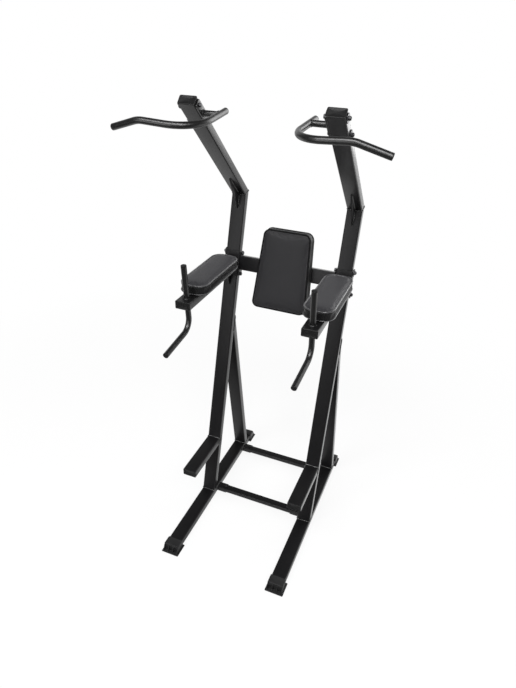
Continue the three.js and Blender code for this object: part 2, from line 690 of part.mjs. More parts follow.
// Outline of a pad drawn in by an inset, wider at its near end, its sides pulled in between the corners
function padOutline({ width, farWidth, length, radius, draw }, inset, drawShare) {
  const middle = (width + farWidth) / 2;
  const x = middle / 2 - inset;
  const y = length / 2 - inset;
  const round = Math.max(radius - inset, Math.min(x, y) / 3);
  const points = [];
  const corners = [[1, -1], [1, 1], [-1, 1], [-1, -1]];
  corners.forEach(([sx, sy], corner) => {
    const centre = [sx * (x - round), sy * (y - round)];
    const from = (corner - 1) * Math.PI / 2;
    for (let step = 0; step <= PAD_CORNER_STEPS; step += 1) {
      const angle = from + Math.PI / 2 * step / PAD_CORNER_STEPS;
      points.push([centre[0] + round * Math.cos(angle), centre[1] + round * Math.sin(angle)]);
    }
    const [nx, ny] = corners[(corner + 1) % corners.length];
    const start = points[points.length - 1];
    const nextFrom = corner * Math.PI / 2;
    const end = [nx * (x - round) + round * Math.cos(nextFrom), ny * (y - round) + round * Math.sin(nextFrom)];
    for (let step = 1; step < PAD_SIDE_STEPS; step += 1) {
      const share = step / PAD_SIDE_STEPS;
      const pull = draw * drawShare * Math.sin(Math.PI * share);
      const px = start[0] + (end[0] - start[0]) * share;
      const py = start[1] + (end[1] - start[1]) * share;
      points.push(corner % 2 === 0 ? [px - sx * pull, py] : [px, py - sy * pull]);
    }
  });
  return points.map(([px, py]) => [px * (1 + (farWidth - width) / middle * py / length), py]);
}

// Pad lying on Z = 0: sides, rolled edge, crown and a closed top
function cushion(pad) {
  const half = Math.min(pad.width, pad.farWidth) / 2;
  const rings = PAD_LEVELS.map((level) => ({
    outline: padOutline(pad, level.insetShare * pad.thickness, level.drawShare),
    z: level.heightShare * pad.thickness,
  }));
  for (const level of CROWN_LEVELS) {
    const z = pad.thickness + level.crownShare * pad.crown;
    rings.push({ outline: padOutline(pad, level.insetShare * half, 0), z });
  }
  const count = rings[0].outline.length;
  const positions = rings.flatMap(({ outline, z }) => outline.map(([x, y]) => new THREE.Vector3(x, y, z)));
  const bottom = positions.push(new THREE.Vector3(0, 0, 0)) - 1;
  const top = positions.push(new THREE.Vector3(0, 0, pad.thickness + pad.crown)) - 1;
  const triangles = [];
  for (let i = 0; i < count; i += 1) {
    const next = (i + 1) % count;
    triangles.push([bottom, next, i]);
    for (let ring = 0; ring < rings.length - 1; ring += 1) {
      const a = ring * count;
      const b = a + count;
      triangles.push([a + i, a + next, b + next], [a + i, b + next, b + i]);
    }
    const last = (rings.length - 1) * count;
    triangles.push([last + i, last + next, top]);
  }
  return indexed(positions, triangles);
}

function boardOutline(pad, growth) {
  return polygon(padOutline(pad, BOARD.inset - growth, 0));
}

function board(pad) {
  return extrude(boardOutline(pad, 0), BOARD.thickness);
}

function upholstered(pad) {
  const pocket = extrude(boardOutline(pad, SEAT_GAP), BOARD.thickness + SEAT_GAP + OVERRUN);
  return cut(cushion(pad), pocket.translate(0, 0, -OVERRUN));
}

for (const [side, sign] of [['left', -1], ['right', 1]]) {
  const pieces = [
    place(`arm_pad_${side}`, upholstered(ARM_PAD), vinyl),
    place(`arm_board_${side}`, board(ARM_PAD), plywood),
  ];
  pieces.forEach((mesh) => mesh.position.set(sign * frameX, armPadMiddle, ARM_HEIGHT + SEAT_GAP));
}
for (const mesh of [
  place('back_pad', upholstered(BACK_PAD), vinyl, leaning),
  place('back_board', board(BACK_PAD), plywood, leaning),
]) {
  mesh.position.set(0, -SEAT_GAP, beamRun);
  mesh.rotation.x = Math.PI / 2;
}

// Bolts

// Bolt along +X: its head bears at X = 0 on a plain washer, and its nut at X = grip on the far washer
function bolt(diameter, grip, nutShare = BOLT_SHARES.nut, farShares = PLAIN_WASHER_SHARES) {
  const near = diameter * PLAIN_WASHER_SHARES.thickness;
  const far = diameter * farShares.thickness;
  const head = diameter * BOLT_SHARES.head;
  const nut = diameter * nutShare;
  const end = grip + far + nut + diameter * BOLT_SHARES.stub;
  const shank = diameter / 2;
  const nearRadius = diameter * PLAIN_WASHER_SHARES.width / 2;
  const farRadius = diameter * farShares.width / 2;
  const profile = [
    [0, -near - head / 2], [shank, -near - head / 2], [shank, -near],
    [nearRadius, -near], [nearRadius, 0], [shank, 0], [shank, grip],
    [farRadius, grip], [farRadius, grip + far], [shank, grip + far], [shank, end], [0, end],
  ];
  const turned = new THREE.LatheGeometry(profile.map(([x, y]) => new THREE.Vector2(x, y)), ROUND_SIDES);
  turned.rotateZ(-Math.PI / 2);
  const corner = diameter * BOLT_SHARES.flats / Math.sqrt(3);
  const turns = [0, 1, 2, 3, 4, 5].map((i) => i * Math.PI / 3);
  const hexagon = polygon(turns.map((angle) => [corner * Math.cos(angle), corner * Math.sin(angle)]));
  return join(turned,
    extrudeAcross(hexagon, -near - head, -near / 2),
    extrudeAcross(hexagon, grip + far / 2, grip + far + nut));
}

// A through bolt at a joint or handle, with a wide washer that spreads the nut's load over the thin wall
function wideBolt(grip) {
  return bolt(BOLT_DIAMETER, grip, BOLT_SHARES.nut, WIDE_WASHER_SHARES);
}

const jointBoltStart = beamEnd - SEAT_GAP;
const jointBoltGrip = outerX + 2 * SEAT_GAP + SADDLE.plate - jointBoltStart;
for (const [level, run] of Object.entries(boltRuns)) {
  const through = wideBolt(jointBoltGrip).translate(jointBoltStart, halfDepth, run);
  pair(`joint_bolt_${level}`, through, blackZinc, leaning);
}

const bracketBoltStart = plateInnerX - SEAT_GAP;
const bracketBoltGrip = outerX + SEAT_GAP - bracketBoltStart;
for (const [level, side] of [['upper', 1], ['lower', -1]]) {
  const run = handleRun + side * handleBoltReach;
  const through = wideBolt(bracketBoltGrip).translate(bracketBoltStart, halfDepth, run);
  pair(`handle_bolt_${level}`, through, blackZinc, crown);
}

// A socket bolt has its head on top and a thin nut below, clear of the floor
const socketBoltGrip = socketSection.depth + 2 * SEAT_GAP;
for (const [end, y] of Object.entries(barRuns)) {
  const hanging = bolt(SOCKET_BOLT_DIAMETER, socketBoltGrip, BOLT_SHARES.thinNut).rotateY(Math.PI / 2);
  pair(`socket_bolt_${end}`, hanging.translate(socketBoltX, y, socketZ + socketBoltGrip / 2), blackZinc);
}

export default station;
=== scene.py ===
import math

import bpy
import numpy as np
from mathutils import Matrix, Vector
from mathutils.bvhtree import BVHTree


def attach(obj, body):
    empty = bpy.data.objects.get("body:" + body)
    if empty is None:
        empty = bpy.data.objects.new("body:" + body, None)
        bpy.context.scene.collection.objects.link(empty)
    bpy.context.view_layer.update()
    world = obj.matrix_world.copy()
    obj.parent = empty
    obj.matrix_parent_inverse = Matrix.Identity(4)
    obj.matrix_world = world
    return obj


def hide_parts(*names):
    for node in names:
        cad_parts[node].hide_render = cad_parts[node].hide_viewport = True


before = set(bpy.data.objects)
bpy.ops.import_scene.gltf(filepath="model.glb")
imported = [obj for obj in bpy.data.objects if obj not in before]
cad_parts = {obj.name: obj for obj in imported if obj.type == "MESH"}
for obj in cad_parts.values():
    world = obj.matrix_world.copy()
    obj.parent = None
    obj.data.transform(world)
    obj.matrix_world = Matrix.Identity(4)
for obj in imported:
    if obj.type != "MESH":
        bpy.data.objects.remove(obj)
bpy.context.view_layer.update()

bl_info = {
    "name": "Dip Station",
    "version": (1, 0, 0),
    "blender": (4, 5, 0),
    "location": "3D View > Sidebar > Dip Station",
    "description": "Upholstery, bars, fixings and finishes for a dip and pull-up station",
    "category": "Object",
}

MM = 0.001

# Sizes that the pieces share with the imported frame, in millimetres

LEAN = math.radians(14.4)
STRUT_LEAN = math.radians(10.5)
KINK = math.radians(61.2)
TOE_Y = -75.0
RAIL_TOP = 43.3
GAP = 0.3
FRAME_X = 301.0
RAIL_END = 520.0
ARM_TOP = 1398.0
STEP_TOP = 386.0
TUBE_WIDTH = 75.0
TUBE_DEPTH = 40.0
TUBE_WALL = 2.5
TUBE_CORNER = 5.0
HALF_DEPTH = TUBE_DEPTH / 2
INNER_X = FRAME_X - TUBE_WIDTH / 2
OUTER_X = FRAME_X + TUBE_WIDTH / 2
JOINT_RUN = (ARM_TOP - 12.5 - RAIL_TOP) / math.cos(LEAN)
KINK_RUN = JOINT_RUN + 352.6
BEAM_RUN = JOINT_RUN + 6.5
POST_RUN = 703.0
HANDLE_RUN = POST_RUN - 75.0
JOINT_BOLT = 55.0
HANDLE_BOLT = 50.0
PAD_WIDTH = 144.0
PAD_LENGTH = 410.0
BAR_RADIUS = 13.5
BORE_RADIUS = 11.0
BRACKET_PLATE = 4.0
BRACKET_HEIGHT = 130.0
BRACKET_FRONT = GAP + BRACKET_PLATE
BEAM_END = INNER_X - 3 * GAP - 2 * BRACKET_PLATE
HANDLE_PLATE = 5.0
HANDLE_PLATE_X = INNER_X - GAP - HANDLE_PLATE
HANDLE_CORNERS = (
    (FRAME_X - 111.0, 58.0, 5.0), (FRAME_X - 121.0, -223.0, -19.0),
    (FRAME_X + 114.0, -237.0, -4.0), (FRAME_X + 241.0, -215.0, -43.0))
HANDLE_BENDS = (128.0, 95.0)
STUB_RADIUS = 12.5
GRIP_SLOPE = 0.089
GRIP_RISE = 162.0
GRIP_DROP = 158.5
DIP_REACH = 223.5
DIP_SLOPE = 0.136
DIP_BEND = 60.0
STRUT_Y = 390.0
GUSSET_PLATE = 6.0
KINK_GUSSET = (72.0, 149.0)
ARM_GUSSET = (62.0, 84.0)
CROSS_BAR_SECTION = (40.0, 25.0, 3.0, 2.0)
SOCKET_SECTION = (46.0, 31.0, 4.0, 2.5)
SOCKET_Z = 27.3
SOCKET_BOLT_X = 214.5
HANDLE_PLATE_SECTION = (38.0, 135.0, 8.0)
CAP_SPIGOT_SECTION = (69.2, 34.2, 2.5)
CAP_SPIGOT_DEPTH = 15.0
FOOT_SECTION = (83.6, 47.6, 4.2)
FOOT_POCKET_SECTION = (75.6, 40.6, 5.0)
FOOT_FLANGE_SECTION = (97.6, 81.3, 3.0)
FOOT_RIBS_X = (-39.8, -13.27, 13.27, 39.8)
THREAD_PITCH = 1.5
FLOOR_RADIUS = 60000.0
X_AXIS = (1.0, 0.0, 0.0)
Z_AXIS = (0.0, 0.0, 1.0)
ACROSS_LEAN = (0.0, math.cos(LEAN), -math.sin(LEAN))
ALONG_LEAN = (0.0, math.sin(LEAN), math.cos(LEAN))


def leaning_y(height, depth=0.0):
    """Y of the upright's front face at a height, moved back by a depth square to the face."""
    return TOE_Y + (height - RAIL_TOP) * math.tan(LEAN) + depth / math.cos(LEAN)


PAD_Y = leaning_y(ARM_TOP, -BRACKET_FRONT) - 44.0 - PAD_LENGTH / 2
GRIP_Y = PAD_Y - PAD_LENGTH / 2 - 22.5 - BAR_RADIUS
ARM_FRONT = GRIP_Y - 41.0
STEP_FRONT = leaning_y(STEP_TOP) - 300.0
CROSS_BAR_Y = {"front": leaning_y(RAIL_TOP, TUBE_DEPTH) + 20.3, "rear": 369.4}


def on_the_lean(points):
    """Millimetres along X, square to the leaning face and up its slope, turned into the station's axes."""
    x, depth, run = np.moveaxis(np.asarray(points, float), -1, 0)
    y = TOE_Y + depth * math.cos(LEAN) + run * math.sin(LEAN)
    z = RAIL_TOP - depth * math.sin(LEAN) + run * math.cos(LEAN)
    return np.stack([x, y, z], -1)


def above_the_kink(points):
    """The same for the stretch above the kink, whose run starts at the kink's front edge."""
    x, depth, run = np.moveaxis(np.asarray(points, float), -1, 0)
    across = depth * math.cos(KINK) - run * math.sin(KINK)
    along = KINK_RUN + depth * math.sin(KINK) + run * math.cos(KINK)
    return on_the_lean(np.stack([x, across, along], -1))


def at_the_handle(points):
    """Level axes through the middle of the handle's plate, with X still from the station's middle."""
    return np.asarray(points, float) + above_the_kink([0.0, HALF_DEPTH, HANDLE_RUN])


# Surfaces

SHARP_ANGLE = math.radians(35.0)


def unit(vectors):
    vectors = np.asarray(vectors, float)
    return vectors / np.linalg.norm(vectors, axis=-1, keepdims=True)


def full_turn(count):
    return np.linspace(0, 2 * np.pi, count, endpoint=False)


def outward(points, faces):
    """Turns the faces over if the signed volume, the sum of a . (b x c) / 6, is negative."""
    a, b, c, d = (points[faces[:, i]] for i in range(4))
    volume = np.einsum("ij,ij->", a, np.cross(b, c)) + np.einsum("ij,ij->", a, np.cross(c, d))
    return faces if volume > 0 else faces[:, ::-1]


def surface(points, close_rows=False, caps=False):
    """A grid of points (rows, columns, 3) as a closed shell: rows are rings, caps are fans on the ends."""
    rows, columns = points.shape[:2]
    flat = points.reshape(-1, 3)
    ring = np.arange(columns)
    after = (ring + 1) % columns
    row = np.arange(rows if close_rows else rows - 1)[:, None]
    here = row * columns
    above = (row + 1) % rows * columns
    faces = np.stack([here + ring, here + after, above + after, above + ring], -1).reshape(-1, 4)
    if caps:
        last = (rows - 1) * columns
        tip = np.full(columns, len(flat))
        low = np.stack([after, ring, tip, tip], -1)
        high = np.stack([ring + last, after + last, tip + 1, tip + 1], -1)
        flat = np.concatenate([flat, np.stack([points[0].mean(0), points[-1].mean(0)])])
        faces = np.concatenate([faces, low, high])
    return flat, outward(flat, faces)


def moved(shell, place):
    """A shell carried by a function of its points, with its faces outward again."""
    points, faces = shell
    placed = place(points)
    return placed, outward(placed, faces)


def together(*shells):
    """Several shells as one list of points and faces."""
    starts = np.cumsum([0] + [len(points) for points, _ in shells[:-1]])
    faces = [part + start for (_, part), start in zip(shells, starts)]
    return np.concatenate([points for points, _ in shells]), np.concatenate(faces)


def directions(route, closed=False):
    """Unit directions along a route: the difference of the points on both sides."""
    if closed:
        return unit(np.roll(route, -1, 0) - np.roll(route, 1, 0))
    return unit(np.gradient(route, axis=0))


def pipe(route, radius, up, sides, closed=False):
    """A round section carried along a route: route + radius (cos a side + sin a lift), side = way x up."""
    way = directions(route, closed)
    side = unit(np.cross(way, up))
    lift = np.cross(side, way)
    angle = full_turn(sides)[:, None]
    ring = np.cos(angle) * side[:, None] + np.sin(angle) * lift[:, None]
    return route[:, None] + np.broadcast_to(radius, len(route))[:, None, None] * ring


def hollow_bar(route, up):
    """A round bar: the outside from end to end, then the bore back again, closed both ways."""
    outside, bore = (pipe(route, radius, up, 32) for radius in (BAR_RADIUS, BORE_RADIUS))
    return surface(np.concatenate([outside, bore[::-1]]), close_rows=True)


def bent_route(corners, radii, step=4.0):
    """Straight runs joined by arcs that touch them, each starting radius tan(turn / 2) before its corner."""
    corners = np.asarray(corners, float)
    runs = [corners[:1]]
    for i, radius in enumerate(radii):
        before, corner, after = corners[i:i + 3]
        arriving = unit(corner - before)
        leaving = unit(after - corner)
        turn = math.acos(float(arriving @ leaving))
        start = corner - arriving * radius * math.tan(turn / 2)
        inward = unit(leaving - arriving * (arriving @ leaving))
        angle = np.linspace(0, turn, max(int(radius * turn / step), 4))[:, None]
        runs.append(start + inward * radius * (1 - np.cos(angle)) + arriving * radius * np.sin(angle))
    runs.append(corners[-1:])
    return np.concatenate(runs)


def turned(radius, height, base, axis, angle):
    """Rings round an axis through base: base + height axis + radius (cos a side + sin a other)."""
    axis = unit(axis)
    side = unit(np.cross(axis, [0.3, 0.5, 0.81]))
    other = np.cross(axis, side)
    spoke = np.cos(angle)[:, None] * side + np.sin(angle)[:, None] * other
    return np.asarray(base, float) + height[..., None] * axis + radius[..., None] * spoke


def revolved(profile, base, axis, sides):
    """A profile of (radius, height) turned round an axis through base."""
    radius, height = np.asarray(profile, float).T[..., None]
    return turned(radius, height, base, axis, full_turn(sides))


def corner_arcs(x, y, radius, points):
    """Quarter turns at the corners of a rectangle that reaches to x and y."""
    arcs = []
    for turn, (sx, sy) in enumerate([(1, -1), (1, 1), (-1, 1), (-1, -1)]):
        angle = np.linspace(0, np.pi / 2, points) + (turn - 1) * np.pi / 2
        across = sx * (x - radius) + radius * np.cos(angle)
        arcs.append(np.stack([across, sy * (y - radius) + radius * np.sin(angle)], -1))
    return arcs


def section_of(width, depth, corner, points=7):
    """A rounded rectangle as offsets along a tube's two cross directions."""
    return np.concatenate(corner_arcs(width / 2, depth / 2, corner, points))


def rounded_outline(width, far_width, length, radius, inset):
    """A rounded trapezoid drawn in by an inset, its sides straight and its corners quarter turns."""
    middle = (width + far_width) / 2
    arcs = corner_arcs(middle / 2 - inset, length / 2 - inset, max(radius - inset, 3.0), 14)
    share = np.linspace(0, 1, 28)[1:-1, None]
    points = []
    for arc, following in zip(arcs, arcs[1:] + arcs[:1]):
        points += [arc, arc[-1] + (following[0] - arc[-1]) * share]
    outline = np.concatenate(points)
    scale = 1 + (far_width - width) / middle * outline[:, 1] / length
    return np.stack([outline[:, 0] * scale, outline[:, 1]], -1)


def evenly(loop, spacing):
    """A closed loop's points laid out again at an even spacing."""
    ends = np.concatenate([loop, loop[:1]])
    length = np.concatenate([[0], np.cumsum(np.linalg.norm(np.diff(ends, axis=0), axis=1))])
    count = max(int(length[-1] / spacing), 12)
    where = np.linspace(0, length[-1], count, endpoint=False)
    return np.stack([np.interp(where, length, ends[:, i]) for i in range(ends.shape[1])], -1)


def slab(outline, thickness, edge):
    """A flat plate on Z = 0 with rolled edges: levels of the outline, drawn in by a quarter circle."""
    angle = np.linspace(0, np.pi / 2, 4)
    low = [(edge * (1 - math.sin(a)), edge * (1 - math.cos(a))) for a in angle]
    high = [(edge * (1 - math.cos(a)), thickness - edge * (1 - math.sin(a))) for a in angle]
    return layered(outline, low + high)


def inwards(loop):
    """Unit normals of a closed loop of X and Y, towards its middle."""
    way = directions(loop, closed=True)
    normal = np.stack([-way[:, 1], way[:, 0]], -1)
    return normal * np.sign(((loop.mean(0) - loop) * normal).sum())


def lifted(loop, height):
    """A loop of X and Y set at a height."""
    return np.column_stack([loop, np.full(len(loop), height)])


def layered(outline, levels):
    """A plate built of levels, each the outline drawn in by an inset along its normals, at a height."""
    inward = inwards(outline)
    rings = [lifted(outline + inward * inset, height) for inset, height in levels]
    return surface(np.stack(rings), caps=True)


def linked(name, points, faces):
    """A new object of the scene, its mesh made from points in millimetres."""
    mesh = bpy.data.meshes.new(name)
    mesh.from_pydata((points * MM).tolist(), [], [tuple(dict.fromkeys(face)) for face in faces.tolist()])
    mesh.validate()
    piece = bpy.data.objects.new(name, mesh)
    bpy.context.scene.collection.objects.link(piece)
    return piece


def dressed(piece, finish, replaces):
    """Gives a piece its material, smooth shading, body and the nodes that it stands for, whose parts it
    hides.
    """
    mesh = piece.data
    mesh.materials.clear()
    mesh.materials.append(finish)
    mesh.polygons.foreach_set("use_smooth", np.ones(len(mesh.polygons), bool))
    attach(piece, "root")
    if replaces:
        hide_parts(*replaces)


def make_piece(name, shell, finish, replaces=()):
    """A whole piece from a shell, its edges sharp where two faces turn by more than the sharp angle."""
    piece = linked(name, *shell)
    dressed(piece, finish, replaces)
    piece.data.set_sharp_from_angle(angle=SHARP_ANGLE)


# Shader expressions

class Socket:
    """An output socket of a shader node, whose arithmetic adds Math nodes."""

    def __init__(self, shader, socket):
        self.shader = shader
        self.socket = socket

    def maths(self, operation, *values):
        return self.shader.node("Math", dict(enumerate(values)), operation=operation)

    def __add__(self, other):
        return self.maths("ADD", self, other)

    def __radd__(self, other):
        return self.maths("ADD", other, self)

    def __sub__(self, other):
        return self.maths("SUBTRACT", self, other)

    def __rsub__(self, other):
        return self.maths("SUBTRACT", other, self)

    def __mul__(self, other):
        return self.maths("MULTIPLY", self, other)

    def clamped(self):
        return self.maths("MINIMUM", self.maths("MAXIMUM", self, 0.0), 1.0)

    def powered(self, exponent):
        return self.maths("POWER", self, exponent)


class Shader:
    """A material's node tree with one Principled shader."""

    def __init__(self, name, **settings):
        self.material = bpy.data.materials.new(name)
        self.material.use_nodes = True
        self.tree = self.material.node_tree
        self.tree.nodes.clear()
        self.output = self.tree.nodes.new("ShaderNodeOutputMaterial")
        self.principled = self.tree.nodes.new("ShaderNodeBsdfPrincipled")
        self.tree.links.new(self.principled.outputs[0], self.output.inputs["Surface"])
        for key, value in settings.items():
            self.principled.inputs[key.replace("_", " ")].default_value = value

    @classmethod
    def blank(cls, tree):
        """A handle on an empty tree, such as a world's."""
        shader = cls.__new__(cls)
        shader.tree = tree
        tree.nodes.clear()
        return shader

    def node(self, kind, inputs=None, output=0, **settings):
        """Adds a node, sets it up, then fills its sockets with values or links."""
        made = self.tree.nodes.new("ShaderNode" + kind)
        for key, value in settings.items():
            setattr(made, key, value)
        for key, value in (inputs or {}).items():
            self.fill(made.inputs[key], value)
        return Socket(self, made.outputs[output])

    def ramp(self, share, stops):
        """A colour ramp through colours at their places."""
        made = self.node("ValToRGB", {0: share})
        elements = made.socket.node.color_ramp.elements
        while len(elements) < len(stops):
            elements.new(0.5)
        for element, (position, colour) in zip(elements, stops):
            element.position = position
            element.color = (*colour, 1.0)
        return made

    def fill(self, target, value):
        if isinstance(value, Socket):
            self.tree.links.new(value.socket, target)
        else:
            target.default_value = value

    def feed(self, name, value):
        self.fill(self.principled.inputs[name], value)

    def place(self):
        """Object coordinates, in metres."""
        return self.node("TexCoord", output="Object")

    def stretched(self, scale):
        return self.node("Mapping", {"Vector": self.place(), "Scale": scale})

    def noise(self, scale, detail, roughness=0.5, where=None):
        return self.node("TexNoise", {
            "Vector": where or self.place(), "Scale": scale, "Detail": detail, "Roughness": roughness})

    def cells(self, scale, feature="F1", where=None):
        inputs = {"Vector": where or self.place(), "Scale": scale}
        return self.node("TexVoronoi", inputs, "Distance", feature=feature)

    def mixed(self, share, first, second):
        """Mix of two colours, each a link or three numbers."""
        first, second = (c if isinstance(c, Socket) else (*c, 1.0) for c in (first, second))
        return self.node("Mix", {0: share, 6: first, 7: second}, 2, data_type="RGBA")

    def shades(self, share, colour, low, high):
        """From the colour times low to the colour times high, by share."""
        return self.mixed(share, tinted(colour, low), tinted(colour, high))

    def low_angle(self):
        """0 where the surface is seen square on, rising as the fourth power of its turn away."""
        return self.node("LayerWeight", {"Blend": 0.5}, "Facing").powered(4.0)

    def bump(self, height, distance, strength):
        inputs = {"Strength": strength, "Distance": distance, "Height": height}
        self.feed("Normal", self.node("Bump", inputs))


def tinted(colour, factor):
    return tuple(min(c * factor, 1.0) for c in colour)


# Finishes

def powder_coat(name, colour, roughness, shine, skin, peel=0.2):
    """Satin powder coat: orange peel, a faint drift of gloss, and a clear skin seen at a low angle."""
    paint = Shader(name, Specular_IOR_Level=shine, Coat_Roughness=0.14, Coat_IOR=1.9)
    paint.feed("Coat Weight", paint.low_angle() * skin)
    drift = paint.noise(7.0, 3.0)
    fine = paint.noise(900.0, 2.0, 0.6)
    paint.feed("Base Color", paint.shades(drift, colour, 0.8, 1.25))
    paint.feed("Roughness", (roughness - 0.07) + drift * 0.12 + fine * 0.03)
    paint.bump(paint.noise(420.0, 1.0) + fine * 0.2, 0.00008, peel)
    return paint.material


def vinyl(name, colour, roughness, shine, band=None):
    """Vinyl: rounded pebbles, broken up by a finer noise, their creases darkened as painted shade; a band's
    colour takes over outside the seam.
    """
    skin = Shader(name, Specular_IOR_Level=shine, Sheen_Weight=shine / 4, Sheen_Roughness=0.5)
    swirl = skin.node("TexNoise", {"Vector": skin.place(), "Scale": 160.0}, "Color")
    shift = skin.node("VectorMath", {0: swirl, "Scale": 0.0022}, operation="SCALE")
    bend = skin.node("VectorMath", {0: skin.place(), 1: shift}, operation="ADD")
    pebbles = skin.cells(520.0, "SMOOTH_F1", bend)
    creases = skin.cells(520.0, "DISTANCE_TO_EDGE", bend)
    drift = skin.noise(11.0, 2.0)
    fold = (creases * 9.0).clamped()
    # Painted shade: the creases between the pebbles take 0.7 of the colour.
    base = skin.mixed(fold, tinted(colour, 0.7), skin.shades(drift, colour, 0.92, 1.1))
    if band is not None:
        where = skin.node("Attribute", output="Fac", attribute_name="face")
        base = skin.mixed((where * 2.0 + 0.5).clamped(), band, base)
    skin.feed("Base Color", base)
    skin.feed("Roughness", roughness + 0.1 - fold * 0.1 + drift * 0.06)
    skin.bump(fold * 0.7 - pebbles * 0.6 + skin.noise(2600.0, 2.0) * 0.25, 0.00022, 0.6)
    return skin.material


def thread(name, colour):
    """Twisted polyester thread, darker in the grooves of its twist as painted shade."""
    yarn = Shader(name, Roughness=0.6, Specular_IOR_Level=0.3, Sheen_Weight=0.3)
    inputs = {"Vector": yarn.place(), "Scale": 900.0, "Distortion": 0.6}
    twist = yarn.node("TexWave", inputs, bands_direction="DIAGONAL")
    # Painted shade: the low grooves of the twist take 0.7 of the colour.
    yarn.feed("Base Color", yarn.shades(twist, colour, 0.7, 1.0))
    yarn.bump(twist, 0.0002, 0.5)
    return yarn.material


def rubber(name, colour):
    """Moulded rubber: spark-eroded matte skin with a bloom that fades with the noise."""
    foot = Shader(name, Specular_IOR_Level=0.5, Coat_Roughness=0.2, Coat_IOR=1.9)
    bloom = foot.noise(26.0, 4.0, 0.6)
    grit = foot.noise(1300.0, 2.0)
    foot.feed("Coat Weight", foot.low_angle())
    foot.feed("Base Color", foot.shades(bloom, colour, 0.8, 1.35))
    foot.feed("Roughness", 0.46 + bloom * 0.16)
    foot.bump(grit + foot.cells(900.0) * 0.6, 0.00015, 0.3)
    return foot.material


def moulded_plastic(name, colour):
    """Injection-moulded plastic with a fine etched texture."""
    cap = Shader(name, Specular_IOR_Level=0.3, Coat_Roughness=0.16)
    cap.feed("Coat Weight", cap.low_angle())
    etch = cap.cells(1500.0)
    sheen = cap.noise(34.0, 2.0)
    cap.feed("Base Color", cap.shades(sheen, colour, 0.85, 1.2))
    cap.feed("Roughness", 0.42 + sheen * 0.08)
    cap.bump(etch, 0.00005, 0.3)
    return cap.material


def plywood(name, colour):
    """Rotary-cut veneer: long grain along Y, with pores and a few darker bands."""
    sheet = Shader(name, Roughness=0.72, Specular_IOR_Level=0.3)
    grain = sheet.noise(1.0, 4.0, 0.6, sheet.stretched((70.0, 5.0, 70.0)))
    pores = sheet.noise(1.0, 2.0, 0.5, sheet.stretched((900.0, 45.0, 900.0)))
    bands = sheet.ramp(grain, [(0.3, tinted(colour, 0.62)), (0.5, colour), (0.72, tinted(colour, 1.18))])
    sheet.feed("Base Color", sheet.mixed((pores * 1.6 - 0.45).clamped(), tinted(colour, 0.6), bands))
    sheet.bump(grain * 0.5 + pores, 0.0004, 0.4)
    return sheet.material


def black_zinc(name, colour):
    """Black zinc plate on steel, brighter where the noise thins it."""
    zinc = Shader(name, Specular_IOR_Level=0.5, Metallic=0.75)
    thin = (zinc.noise(140.0, 4.0, 0.65) * 2.2 - 0.9).clamped()
    zinc.feed("Base Color", zinc.shades(thin, colour, 1.0, 2.6))
    zinc.feed("Roughness", 0.34 + thin * 0.16)
    zinc.bump(zinc.noise(1600.0, 2.0), 0.00008, 0.4)
    return zinc.material


def bright_steel(name, colour):
    """Bare zinc-plated steel of the staples and T-nuts."""
    wire = Shader(name, Metallic=0.95, Specular_IOR_Level=0.5)
    haze = wire.noise(300.0, 3.0)
    wire.feed("Base Color", wire.shades(haze, colour, 0.75, 1.0))
    wire.feed("Roughness", 0.28 + haze * 0.2)
    return wire.material


# Fixings

def hex_ring(flats, angle):
    """Radius of a hexagon: half the distance across flats over the cosine from the flat's middle."""
    sector = np.pi / 3
    return flats / 2 / np.cos((angle + sector / 2) % sector - sector / 2)


def hex_body(base, axis, flats, height, crown_height, collar=False):
    """A chamfered hexagon: the least of the hexagon and a cone at each end, under a crown or a collar."""
    angle = full_turn(72)
    levels = np.array([0.0, 0.02, 0.1, 0.2, 0.8, 0.9, 0.98, 1.0]) * height
    reach = flats / 2 + np.minimum(levels, height - levels) * 1.9
    reach[:2] = flats / 2 * 1.03
    radius = np.minimum(hex_ring(flats, angle), reach[:, None])
    dome = np.linspace(0, np.pi / 2, 6) if collar else np.full(1, np.pi / 2)
    end = flats / 2 * (0.72 + 0.2 * np.cos(dome)) if collar else np.full(1, flats * 0.42)
    radius = np.concatenate([radius, np.broadcast_to(end[:, None], (len(end), len(angle)))])
    heights = np.concatenate([levels, height + crown_height * np.sin(dome)])[:, None]
    return surface(turned(radius, heights, base, axis, angle), caps=True)


def thread_end(base, axis, diameter, length):
    """A threaded end: the radius falls and rises once a pitch, shifted by the angle, with a chamfered tip."""
    height = np.linspace(0, length, int(length / THREAD_PITCH * 8) + 1)[:, None]
    angle = full_turn(24)
    phase = (height / THREAD_PITCH + angle / (2 * np.pi)) % 1.0
    radius = diameter / 2 - 0.9 * (1 - np.abs(2 * phase - 1)) * 0.6
    radius = np.minimum(radius, diameter / 2 - 1.1 + (length - height) * 0.9)
    return surface(turned(radius, height, base, axis, angle), caps=True)


def washer(base, axis, diameter, thickness, hole, rim=0.3):
    """A flat washer with softened rims, turned from a closed profile."""
    r = diameter / 2
    top = thickness - rim
    profile = [(hole / 2, 0), (r - rim, 0), (r, rim), (r, top), (r - rim, thickness), (hole / 2, thickness)]
    return surface(revolved(profile, base, axis, 40), close_rows=True)


def through_bolt(start, axis, grip, diameter, nut_share=0.76, washer_share=3.8, washer_thickness=0.4):
    """Head and washer before the start; past the grip a wide washer, the nut and the threaded end."""
    start = np.asarray(start, float)
    axis = np.asarray(axis, float)
    near = 0.2 * diameter
    wide = washer_thickness * diameter
    far = start + axis * grip
    flats = 1.6 * diameter
    return together(
        hex_body(start - axis * near, -axis, flats, 0.6 * diameter, 0.04 * diameter),
        washer(start - axis * near, axis, 2 * diameter, near, diameter),
        surface(revolved([(diameter / 2, -0.1), (diameter / 2, grip + 0.1)], start, axis, 24), caps=True),
        washer(far, axis, washer_share * diameter, wide, diameter),
        hex_body(far + axis * wide, axis, flats, nut_share * diameter, 0.24 * diameter, collar=True),
        thread_end(far + axis * (wide + (nut_share - 0.06) * diameter), axis, diameter, 0.4 * diameter),
    )


